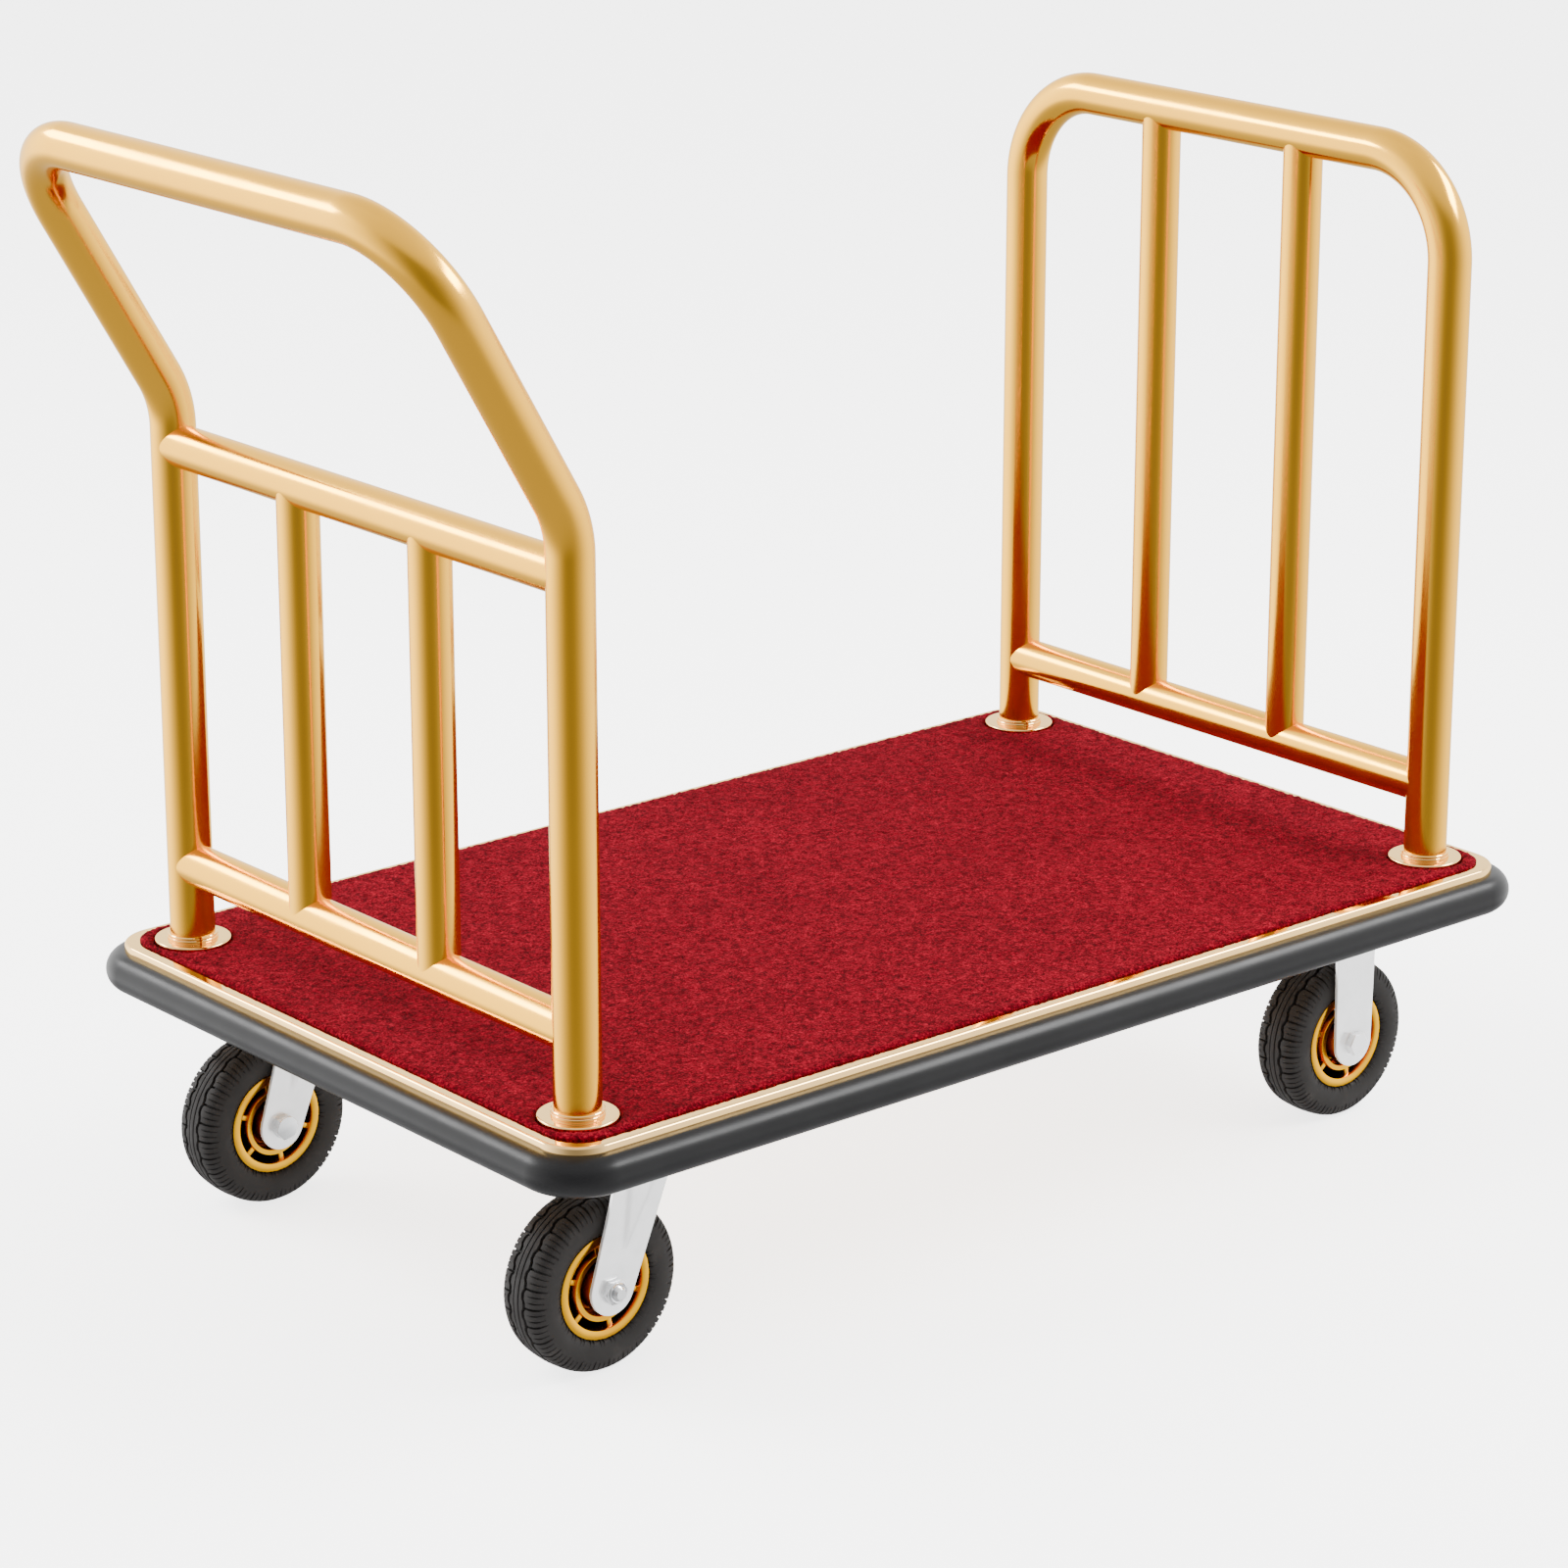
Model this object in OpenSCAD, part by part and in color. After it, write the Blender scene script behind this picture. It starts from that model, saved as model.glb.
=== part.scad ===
// Hotel luggage cart: a carpeted deck in a bright sheet tray, a push handle
// frame at one end, a tall hoop at the other, and four wheels below.
// The push handle is at -X. The floor is at z = 0.

/* [Deck] */
// Length of the sheet tray, along the cart
deck_length = 1054; // [960:2:1260]
// Width of the sheet tray, across the cart
deck_width = 637; // [600:1:760]
// Outer corner radius of the tray
deck_corner_radius = 37; // [30:1:42]
// Rounded edge between the tray's top and its skirt
deck_edge_radius = 3; // [2:0.5:5]
// Thickness of the tray's sheet metal
sheet_thickness = 1.5; // [1.2:0.1:2]
// Thickness of the plywood board inside the tray
board_thickness = 18; // [15:1:21]
// Height of the carpet above the tray
carpet_thickness = 3.5; // [3:0.5:4.5]
// Rounded top edge of the carpet
carpet_edge = 1; // [0.5:0.5:1.5]
// Bright border left bare around the carpet
carpet_margin = 11; // [8:1:14]
// Height of the half-round rubber bumper; it stands out by half of this
bumper_height = 33; // [28:1:34]
// Drop from the tray's top to the bumper's top
bumper_drop = 7; // [6:1:8]

/* [Frame under the deck] */
// Height of the channel rails
channel_height = 22.5; // [20:0.5:30]
// Width of the channel rails' flanges
channel_width = 36; // [34:1:38]
// Wall thickness of the channel rails
channel_wall = 3; // [2.5:0.5:3.5]
// Distance of each long rail from the cart's centre line
long_rail_offset = 150; // [100:5:170]

/* [Tubes] */
// Outside diameter of the posts, the handle and the hoop
post_tube = 38; // [36:1:40]
// Outside diameter of the horizontal rails
rail_tube = 36; // [34:0.5:36]
// Outside diameter of the upright bars
bar_tube = 35; // [30:0.5:35]
// Wall thickness of all tubes
tube_wall = 1.5; // [1.2:0.1:2]
// Distance of the posts' centres from the tray's ends
post_inset_length = 50.5; // [48:0.5:60]
// Distance of the posts' centres from the tray's sides
post_inset_width = 54.5; // [50:0.5:65]
// Height of both low rails above the tray
low_rail_height = 71; // [60:1:90]

/* [Push handle] */
// Height of the cross rail above the tray
cross_rail_height = 433; // [360:1:440]
// Height above the tray at which the legs start to lean outward
handle_kink_height = 472; // [470:1:540]
// Height of the grip bar's centre above the tray
handle_height = 706; // [640:1:840]
// Outward reach of the grip bar, past the posts
handle_reach = 137; // [80:1:170]
// Bend radius where the legs start to lean
handle_kink_radius = 90; // [70:1:110]
// Bend radius at the ends of the grip bar
handle_corner_radius = 80; // [70:1:100]

/* [Hoop] */
// Height of the hoop's top bar above the tray
hoop_height = 624.5; // [560:0.5:760]
// Bend radius at the ends of the hoop's top bar
hoop_corner_radius = 88; // [76:1:110]

/* [Post feet] */
// Diameter of the flange disc at the foot of each post
flange_diameter = 65; // [60:1:66]
// Height of the flange disc above the tray
flange_height = 5; // [5:0.5:7]
// Height of the ring around the tube, on the flange
collar_height = 5; // [4:0.5:8]
// Radius of the bolt that holds each post
post_bolt_radius = 5; // [4:0.5:6]

/* [Casters] */
// Outside diameter of each wheel
wheel_diameter = 146; // [120:2:160]
// Width of each tyre
tyre_width = 48; // [40:1:50]
// Distance by which a swivel wheel trails its kingpin
caster_trail = 36; // [28:1:42]
// Distance of the casters from the posts, along the cart
caster_setback = 74.5; // [74:0.5:100]
// Distance of the casters from the posts, across the cart
caster_inset = 38; // [30:1:60]
// Length of each caster's top plate, along the cart
plate_length = 104; // [102:1:106]
// Width of each caster's top plate, across the cart
plate_width = 88; // [86:1:100]
// Thickness of the pressed steel in plates and forks
fork_steel = 3; // [2.5:0.5:4]
// Free height between the top of a wheel and its fork
crown_gap = 27; // [22:1:40]

/* [Hidden] */
$fn = 64;

// Small overrun that keeps cut faces apart
eps = 0.5;
left = 1;
right = -1;
rear = -1;
front = 1;
ends = [rear, front];
sides = [left, right];

gold = [0.86, 0.68, 0.44];
steel = [0.78, 0.79, 0.8];
zinc = [0.85, 0.85, 0.86];
black = [0.12, 0.12, 0.13];
red = [0.6, 0.08, 0.12];
yellow = [0.93, 0.66, 0.1];

// Heights, from the floor up
axle_height = wheel_diameter / 2;
ball_radius = 3;
ball_clearance = 0.3;
race_height = 5;
race_gap = 1;
crown_top = wheel_diameter + crown_gap + fork_steel;
plate_bottom = crown_top + ball_radius + race_gap + race_height;
plate_top = plate_bottom + fork_steel;
board_bottom = plate_top + channel_height;
sheet_bottom = board_bottom + board_thickness;
tray_top = sheet_bottom + sheet_thickness;
carpet_top = tray_top + carpet_thickness;
flange_top = tray_top + flange_height;
bumper_radius = bumper_height / 2;
bumper_centre = tray_top - bumper_drop - bumper_radius;
skirt_bottom = bumper_centre - bumper_radius;

// Places of the posts and the casters, from the deck's centre
post_x = deck_length / 2 - post_inset_length;
post_y = deck_width / 2 - post_inset_width;
caster_x = post_x - caster_setback;
caster_y = post_y - caster_inset;

// Moves the deck's centre so that the origin is below the middle of the whole cart
rear_reach = post_x + handle_reach + post_tube / 2;
front_reach = deck_length / 2 + bumper_radius;
deck_shift = (rear_reach - front_reach) / 2;

// Radii of the tubes
post_radius = post_tube / 2;
rail_radius = rail_tube / 2;
bar_radius = bar_tube / 2;

// Places of the two upright bars, a third of the way from post to post
bar_y = post_y / 3;

// Lean of the handle's legs
handle_lean = atan(handle_reach / (handle_height - handle_kink_height));
handle_leg = (handle_height - handle_kink_height) / cos(handle_lean);
kink_tangent = handle_kink_radius * tan(handle_lean / 2);

// Post fastenings
flange_radius = flange_diameter / 2;
flange_gap = 1;
collar_wall = 2.5;
plug_length = 32;
bolt_clearance = 0.3;
post_bolt_bite = 25;
post_washer_radius = 13;
post_washer_thickness = 2;
post_bolt_flats = 17;
post_bolt_head = 6.4;
flange_edge = 2;

// Caster plate fastenings
plate_corner = 8;
plate_bolt_radius = 4;
plate_bolt_margin = 13;
plate_bolt_x = plate_length / 2 - plate_bolt_margin;
plate_bolt_y = plate_width / 2 - plate_bolt_margin;
slot_stretch = 5;
plate_washer_thickness = 1.6;
plate_washer_radius = 8;
plate_bolt_flats = 13;
plate_bolt_head = 5.3;
plate_bolt_spare = 9;
plate_nut_height = 6.5;
channel_lip = 18;
screw_radius = 2.5;
screw_head_radius = 5;
screw_head_height = 2.5;
screw_length = 12;

// Kingpin and race
kingpin_radius = 6;
kingpin_clearance = 0.05;
kingpin_head_radius = 11;
kingpin_head_height = 4;
race_inner = 19;
race_outer = 30;
ball_circle = 25;
ball_count = 18;
dust_ring_inner = 31.5;
dust_ring_outer = 34;
dust_ring_gap = 0.5;
crown_radius = 37;
kingpin_washer_gap = 0.3;
kingpin_washer_radius = 14;
kingpin_washer_thickness = 2.5;
kingpin_nut_height = 6.5;
kingpin_nut_flats = 19;
kingpin_tip = 2;

// Fork and wheel
wheel_side_gap = 3;
fork_inner = tyre_width / 2 + wheel_side_gap;
fork_outer = fork_inner + fork_steel;
fork_bend = 8;
swivel_leg_top = 28;
swivel_leg_end = 21;
rigid_leg_top = 24;
rigid_leg_end = 22;
axle_radius = 6;
axle_hole = 6.15;
sleeve_radius = 10;
bearing_clearance = 0.05;
bearing_radius = 15;
hub_radius = 20;
hub_gap = 1.5;
hub_half = fork_inner - hub_gap;
rim_share = 0.61;
rim_radius = rim_share * wheel_diameter / 2;
rim_inset = 3;
rim_half = tyre_width / 2 - rim_inset;
rim_lip = 7.5;
rim_ring_outer = 29;
rim_ring_inner = 24.5;
rim_ring_inset = 1;
web_half = 4;
spoke_count = 6;
spoke_width = 6;
spoke_inset = 4;
tyre_shoulder = 9;
tread_groove_width = 2.5;
tread_groove_depth = 3;
tread_groove_spacing = 8;
axle_nut_height = 8;
axle_collar_height = 3;
axle_head_height = 7.5;
axle_tip = 3;
axle_flats = 19;
axle_collar_radius = 8.5;

// Across-flats sizes become corner radii for six-sided heads and nuts
function hex_radius(across_flats) = across_flats / 2 / cos(30);

// Point where a line from p touches a circle; side picks the left or right one
function touch_point(p, c, r, side) =
    let (
        d = norm(p - c),
        base = atan2(p[1] - c[1], p[0] - c[0]),
        swing = side * acos(r / d)
    )
    c + r * [cos(base + swing), sin(base + swing)];

module on_deck() {
    translate([deck_shift, 0, 0]) children();
}

module at_posts() {
    for (e = ends, s = sides)
        on_deck() translate([e * post_x, s * post_y, 0]) children();
}

module at_casters(e) {
    for (s = sides) at_caster(e, s) children();
}

module at_caster(e, s) {
    on_deck() translate([e * caster_x, s * caster_y, 0]) children();
}

module at_axle(e, s) {
    trail = e == rear ? caster_trail : 0;
    at_caster(e, s) translate([-trail, 0, axle_height]) children();
}

module ring(outer, inner, height) {
    difference() {
        cylinder(h = height, r = outer);
        translate([0, 0, -eps]) cylinder(h = height + 2 * eps, r = inner);
    }
}

// ---------- Flat shapes ----------

module rounded_rectangle(length, width, radius) {
    square([length - 2 * radius, width], center = true);
    square([length, width - 2 * radius], center = true);
    for (x = [-1, 1], y = [-1, 1])
        translate([x * (length / 2 - radius), y * (width / 2 - radius)]) circle(radius);
}

module rounded_block(length, width, radius, height) {
    linear_extrude(height) rounded_rectangle(length, width, radius);
}

// A rounded block whose top edge is rounded too
module soft_block(length, width, radius, height, edge) {
    inner = radius - edge;
    rounded_block(length, width, radius, height - edge);
    rounded_block(length - 2 * edge, width - 2 * edge, inner, height);
    translate([0, 0, height - edge]) {
        for (y = [-1, 1])
            translate([0, y * (width / 2 - edge), 0]) rotate([0, 90, 0])
                cylinder(h = length - 2 * radius, r = edge, center = true);
        for (x = [-1, 1])
            translate([x * (length / 2 - edge), 0, 0]) rotate([90, 0, 0])
                cylinder(h = width - 2 * radius, r = edge, center = true);
        for (x = [-1, 1], y = [-1, 1])
            translate([x * (length / 2 - radius), y * (width / 2 - radius), 0])
                rotate_extrude() translate([inner, 0]) half_disc(edge);
    }
}

// Half of a circle, on its +X side
module half_disc(radius) {
    intersection() {
        circle(radius);
        translate([0, -radius]) square([radius, 2 * radius]);
    }
}

// ---------- Deck ----------

module post_bolt_holes(bottom, top, radius) {
    at_posts() translate([0, 0, bottom - eps]) cylinder(h = top - bottom + 2 * eps, r = radius);
}

module deck_tray() {
    inner_length = deck_length - 2 * sheet_thickness;
    inner_width = deck_width - 2 * sheet_thickness;
    inner_radius = deck_corner_radius - sheet_thickness;
    color(gold) difference() {
        on_deck() translate([0, 0, skirt_bottom])
            soft_block(deck_length, deck_width, deck_corner_radius,
                tray_top - skirt_bottom, deck_edge_radius);
        on_deck() translate([0, 0, skirt_bottom - eps])
            rounded_block(inner_length, inner_width, inner_radius,
                sheet_bottom - skirt_bottom + eps);
        post_bolt_holes(sheet_bottom, tray_top, post_bolt_radius + bolt_clearance);
    }
}

module deck_board() {
    gap = 2 * sheet_thickness;
    color("burlywood") difference() {
        on_deck() translate([0, 0, board_bottom])
            rounded_block(deck_length - gap, deck_width - gap,
                deck_corner_radius - sheet_thickness, board_thickness);
        post_bolt_holes(board_bottom, sheet_bottom, post_bolt_radius + bolt_clearance);
        at_board_screws() cylinder(h = screw_length, r = screw_radius);
    }
}

module carpet() {
    hole = flange_radius + flange_gap;
    margin = 2 * carpet_margin;
    color(red) difference() {
        on_deck() translate([0, 0, tray_top])
            soft_block(deck_length - margin, deck_width - margin,
                deck_corner_radius - carpet_margin / 2, carpet_thickness, carpet_edge);
        post_bolt_holes(tray_top, carpet_top, hole);
    }
}

module bumper() {
    straight_x = deck_length - 2 * deck_corner_radius;
    straight_y = deck_width - 2 * deck_corner_radius;
    color(black) on_deck() translate([0, 0, bumper_centre]) {
        for (s = [0, 180]) rotate(s) {
            translate([0, deck_width / 2, 0]) rotate([0, 90, 0])
                linear_extrude(straight_x, center = true) rotate(90) half_disc(bumper_radius);
            translate([deck_length / 2, 0, 0]) rotate([90, 0, 0])
                linear_extrude(straight_y, center = true) half_disc(bumper_radius);
            for (q = [0, 1])
                translate([(q ? -1 : 1) * straight_x / 2, straight_y / 2, 0]) rotate(q * 90)
                    rotate_extrude(angle = 90)
                        translate([deck_corner_radius, 0]) half_disc(bumper_radius);
        }
    }
}

// ---------- Frame under the deck ----------

// A channel along Y whose open side faces +X
module channel(length) {
    inner = channel_height - 2 * channel_wall;
    translate([-channel_width / 2, -length / 2, 0]) difference() {
        cube([channel_width, length, channel_height]);
        translate([channel_wall, -eps, channel_wall])
            cube([channel_width, length + 2 * eps, inner]);
    }
}

// The cross rails stand in pairs over the plate bolts, open towards each other
module at_cross_rails() {
    for (e = ends, q = [-1, 1])
        on_deck() translate([e * caster_x + q * plate_bolt_x, 0, plate_top])
            rotate(q > 0 ? 180 : 0) children();
}

module plate_bolt_holes(bottom, height, radius) {
    for (e = ends) at_casters(e)
        for (x = [-1, 1], y = [-1, 1])
            translate([x * plate_bolt_x, y * plate_bolt_y, bottom]) cylinder(h = height, r = radius);
}

module at_board_screws() {
    for (e = ends, q = [-1, 1], y = [-1, 1])
        on_deck() translate([e * caster_x + q * plate_bolt_x, y * caster_y / 2, board_bottom])
            children();
}

module frame_cross_rails() {
    color(steel) difference() {
        at_cross_rails() channel(2 * (caster_y + plate_width / 2 + channel_lip));
        plate_bolt_holes(plate_top - eps, channel_wall + 2 * eps, plate_bolt_radius + bolt_clearance);
        at_board_screws() translate([0, 0, -channel_wall - eps])
            cylinder(h = channel_wall + 2 * eps, r = screw_radius + bolt_clearance);
    }
}

module frame_long_rails() {
    rail_length = 2 * (caster_x - plate_bolt_x - channel_width / 2);
    color(steel) for (s = sides)
        on_deck() translate([0, s * long_rail_offset, plate_top])
            rotate(-s * 90) channel(rail_length);
}

module board_screws() {
    color(zinc) at_board_screws() {
        cylinder(h = screw_length, r = screw_radius);
        translate([0, 0, -channel_wall]) cylinder(h = channel_wall + eps, r = screw_radius);
        translate([0, 0, -channel_wall - screw_head_height])
            cylinder(h = screw_head_height, r = screw_head_radius);
    }
}

// ---------- Tubes ----------

// A straight tube from the origin up
module tube(length, radius) {
    ring(radius, radius - tube_wall, length);
}

// A bent tube: it starts at the origin along +Z and bends towards +X
module bend(turn, bend_radius, radius) {
    translate([bend_radius, 0, 0]) rotate([90, 0, 0]) rotate(180)
        rotate_extrude(angle = -turn, $fn = 96) translate([bend_radius, 0]) difference() {
            circle(radius);
            circle(radius - tube_wall);
        }
}

// One leg, its corner bend and its half of the top bar, in the plane of +Z and +X
module half_arch(length, half_width, corner, radius) {
    tube(length - corner, radius);
    translate([0, 0, length - corner]) {
        bend(90, corner, radius);
        translate([corner, 0, corner]) rotate([0, 90, 0]) tube(half_width - corner, radius);
    }
}

module handle_posts() {
    color(gold) on_deck() for (s = sides) translate([-post_x, s * post_y, flange_top])
        tube(tray_top + handle_kink_height - kink_tangent - flange_top, post_radius);
}

// The bent part of the push handle, drawn along its leaning legs
module handle_grip() {
    leg_length = handle_leg - kink_tangent;
    color(gold) on_deck() translate([-post_x, 0, tray_top + handle_kink_height])
        rotate([0, -handle_lean, 0]) translate([0, 0, kink_tangent])
            for (s = sides) translate([0, s * post_y, 0]) {
                mirror([0, 0, 1]) rotate(180) bend(handle_lean, handle_kink_radius, post_radius);
                rotate(-s * 90) half_arch(leg_length, post_y, handle_corner_radius, post_radius);
            }
}

module hoop_tube() {
    color(gold) on_deck() for (s = sides) translate([post_x, s * post_y, flange_top])
        rotate(-s * 90)
            half_arch(tray_top + hoop_height - flange_top, post_y, hoop_corner_radius, post_radius);
}

// A rail between two posts, cut to fit round them
module post_rail(e, height) {
    color(gold) on_deck() translate([e * post_x, 0, tray_top + height]) difference() {
        translate([0, -post_y, 0]) rotate([-90, 0, 0]) tube(2 * post_y, rail_radius);
        for (s = sides) translate([0, s * post_y, -post_tube])
            cylinder(h = 2 * post_tube, r = post_radius);
    }
}

module handle_cross_rail() {
    post_rail(rear, cross_rail_height);
}

module handle_low_rail() {
    post_rail(rear, low_rail_height);
}

module hoop_low_rail() {
    post_rail(front, low_rail_height);
}

// Two upright bars between a low tube and a high tube, cut to fit round them
module upright_bars(e, high, high_radius) {
    color(gold) on_deck() for (s = sides) translate([e * post_x, s * bar_y, tray_top])
        difference() {
            translate([0, 0, low_rail_height]) tube(high - low_rail_height, bar_radius);
            translate([0, 0, low_rail_height]) rotate([90, 0, 0])
                cylinder(h = 2 * post_tube, r = rail_radius, center = true);
            translate([0, 0, high]) rotate([90, 0, 0])
                cylinder(h = 2 * post_tube, r = high_radius, center = true);
        }
}

module handle_bars() {
    upright_bars(rear, cross_rail_height, rail_radius);
}

module hoop_bars() {
    upright_bars(front, hoop_height, post_radius);
}

// ---------- Post feet ----------

module post_flanges() {
    edge = flange_edge;
    color(gold) at_posts() translate([0, 0, tray_top]) difference() {
        union() {
            cylinder(h = flange_height - edge, r = flange_radius);
            cylinder(h = flange_height, r = flange_radius - edge);
            translate([0, 0, flange_height - edge]) rotate_extrude()
                translate([flange_radius - edge, 0]) half_disc(edge);
        }
        translate([0, 0, -eps])
            cylinder(h = flange_height + 2 * eps, r = post_bolt_radius + bolt_clearance);
    }
}

module post_collars() {
    color(gold) at_posts() translate([0, 0, flange_top])
        ring(post_radius + collar_wall, post_radius, collar_height);
}

module post_plugs() {
    color(steel) at_posts() translate([0, 0, flange_top])
        ring(post_radius - tube_wall, post_bolt_radius, plug_length);
}

module post_washers() {
    color(zinc) at_posts() translate([0, 0, board_bottom - post_washer_thickness])
        ring(post_washer_radius, post_bolt_radius + bolt_clearance, post_washer_thickness);
}

module post_bolts() {
    seat = board_bottom - post_washer_thickness;
    color(zinc) at_posts() {
        translate([0, 0, seat - post_bolt_head])
            cylinder(h = post_bolt_head, r = hex_radius(post_bolt_flats), $fn = 6);
        translate([0, 0, seat - eps])
            cylinder(h = flange_top + post_bolt_bite - seat + eps, r = post_bolt_radius);
    }
}

// ---------- Caster plates and their fastenings ----------

module plate_slot() {
    for (x = [-1, 1]) translate([x * slot_stretch / 2, 0, 0])
        cylinder(h = fork_steel + 2 * eps, r = plate_bolt_radius + bolt_clearance);
    translate([-slot_stretch / 2, -plate_bolt_radius - bolt_clearance, 0])
        cube([slot_stretch, 2 * (plate_bolt_radius + bolt_clearance), fork_steel + 2 * eps]);
}

module caster_plate(hole) {
    translate([0, 0, plate_bottom]) difference() {
        rounded_block(plate_length, plate_width, plate_corner, fork_steel);
        translate([0, 0, -eps]) {
            for (x = [-1, 1], y = [-1, 1])
                translate([x * plate_bolt_x, y * plate_bolt_y, 0]) plate_slot();
            cylinder(h = fork_steel + 2 * eps, r = hole);
        }
    }
}

module swivel_plates() {
    color(zinc) at_casters(rear) caster_plate(kingpin_radius);
}

module rigid_plates() {
    color(zinc) at_casters(front) caster_plate(kingpin_radius);
}

module plate_bolts() {
    seat = plate_bottom - plate_washer_thickness;
    reach = channel_wall + fork_steel + plate_washer_thickness + plate_bolt_spare;
    color(zinc) {
        plate_bolt_holes(seat - eps, reach + eps, plate_bolt_radius);
        for (e = ends) at_casters(e) for (x = [-1, 1], y = [-1, 1])
            translate([x * plate_bolt_x, y * plate_bolt_y, seat - plate_bolt_head])
                cylinder(h = plate_bolt_head, r = hex_radius(plate_bolt_flats), $fn = 6);
    }
}

module plate_washers() {
    color(zinc) difference() {
        plate_bolt_holes(plate_bottom - plate_washer_thickness, plate_washer_thickness,
            plate_washer_radius);
        plate_bolt_holes(plate_bottom - plate_washer_thickness - eps,
            plate_washer_thickness + 2 * eps, plate_bolt_radius + bolt_clearance);
    }
}

module plate_nuts() {
    bottom = plate_top + channel_wall;
    color(zinc) difference() {
        for (e = ends) at_casters(e) for (x = [-1, 1], y = [-1, 1])
            translate([x * plate_bolt_x, y * plate_bolt_y, bottom])
                cylinder(h = plate_nut_height, r = hex_radius(plate_bolt_flats), $fn = 6);
        plate_bolt_holes(bottom - eps, plate_nut_height + 2 * eps, plate_bolt_radius);
    }
}

// ---------- Swivel bearing ----------

module swivel_races() {
    race_bottom = plate_bottom - race_height;
    color(zinc) at_casters(rear) difference() {
        translate([0, 0, race_bottom]) ring(race_outer, race_inner, race_height);
        translate([0, 0, crown_top + ball_radius]) rotate_extrude()
            translate([ball_circle, 0]) circle(ball_radius + ball_clearance);
    }
}

module kingpins() {
    bottom = crown_top - fork_steel - kingpin_washer_gap - kingpin_washer_thickness
        - kingpin_nut_height - kingpin_tip;
    color(zinc) at_casters(rear) {
        translate([0, 0, bottom]) cylinder(h = plate_top - bottom + eps, r = kingpin_radius);
        translate([0, 0, plate_top]) cylinder(h = kingpin_head_height, r = kingpin_head_radius);
    }
}

module kingpin_washers() {
    top = crown_top - fork_steel - kingpin_washer_gap;
    color(zinc) at_casters(rear) translate([0, 0, top - kingpin_washer_thickness])
        ring(kingpin_washer_radius, kingpin_radius, kingpin_washer_thickness);
}

module kingpin_nuts() {
    top = crown_top - fork_steel - kingpin_washer_gap - kingpin_washer_thickness;
    color(zinc) at_casters(rear) translate([0, 0, top - kingpin_nut_height]) difference() {
        cylinder(h = kingpin_nut_height, r = hex_radius(kingpin_nut_flats), $fn = 6);
        translate([0, 0, -eps]) cylinder(h = kingpin_nut_height + 2 * eps, r = kingpin_radius);
    }
}

module swivel_balls(s) {
    color(steel) at_caster(rear, s) translate([0, 0, crown_top + ball_radius])
        for (i = [0 : ball_count - 1]) rotate(i * 360 / ball_count)
            translate([ball_circle, 0, 0]) sphere(ball_radius, $fn = 24);
}

module dust_ring(s) {
    color(zinc) at_caster(rear, s) translate([0, 0, crown_top])
        ring(dust_ring_outer, dust_ring_inner, plate_bottom - dust_ring_gap - crown_top);
}

// ---------- Forks ----------

// Solid bar along X with rounded top corners, for the fork's bent section
module saddle_block(half, top, bend_radius, reach) {
    translate([-reach, -half, 0]) cube([2 * reach, 2 * half, top - bend_radius]);
    translate([-reach, -half + bend_radius, 0]) cube([2 * reach, 2 * (half - bend_radius), top]);
    for (s = sides) translate([0, s * (half - bend_radius), top - bend_radius])
        rotate([0, 90, 0]) cylinder(h = 2 * reach, r = bend_radius, center = true);
}

// Side view of a fork: straight or tapering legs with a round end at the axle
module fork_outline(top, half_top, trail, end_radius) {
    axle = [-trail, axle_height];
    front_touch = touch_point([half_top, top], axle, end_radius, -1);
    rear_touch = touch_point([-half_top, top], axle, end_radius, 1);
    translate([0, 2 * fork_outer, 0]) rotate([90, 0, 0]) {
        linear_extrude(4 * fork_outer)
            polygon([[-half_top, top], [half_top, top], front_touch, axle, rear_touch]);
        translate(axle) cylinder(h = 4 * fork_outer, r = end_radius);
    }
}

// A bent steel fork: a crown over the wheel and a leg on each side
module fork(top, half_top, trail, end_radius) {
    reach = 2 * fork_outer + trail;
    difference() {
        intersection() {
            difference() {
                saddle_block(fork_outer, top, fork_bend + fork_steel, reach);
                translate([0, 0, -eps])
                    saddle_block(fork_inner, top - fork_steel + eps, fork_bend, reach + eps);
            }
            fork_outline(top, half_top, trail, end_radius);
        }
        translate([-trail, 0, axle_height]) rotate([90, 0, 0])
            cylinder(h = 4 * fork_outer, r = axle_hole, center = true);
    }
}

module swivel_fork(s) {
    color(zinc) at_caster(rear, s) difference() {
        union() {
            fork(crown_top, swivel_leg_top, caster_trail, swivel_leg_end);
            translate([0, 0, crown_top - fork_steel]) cylinder(h = fork_steel, r = crown_radius);
        }
        translate([0, 0, crown_top - 2 * fork_steel])
            cylinder(h = 3 * fork_steel, r = kingpin_radius + kingpin_clearance);
    }
}

module rigid_fork(s) {
    color(zinc) at_caster(front, s) fork(plate_bottom, rigid_leg_top, 0, rigid_leg_end);
}

// ---------- Axles ----------

module axle_sleeve(e, s) {
    color(zinc) at_axle(e, s) translate([0, fork_inner, 0]) rotate([90, 0, 0])
        ring(sleeve_radius, axle_hole, 2 * fork_inner);
}

// The head is on the side that outward names: 1 is the cart's outside
module axle_bolt(e, s, outward) {
    grip = fork_outer + axle_nut_height + axle_tip;
    color(zinc) at_axle(e, s) rotate([outward * s * 90, 0, 0]) {
        translate([0, 0, -fork_outer - axle_head_height])
            cylinder(h = axle_head_height, r = hex_radius(axle_flats), $fn = 6);
        translate([0, 0, -fork_outer - eps]) cylinder(h = fork_outer + grip + eps, r = axle_radius);
    }
}

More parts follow.
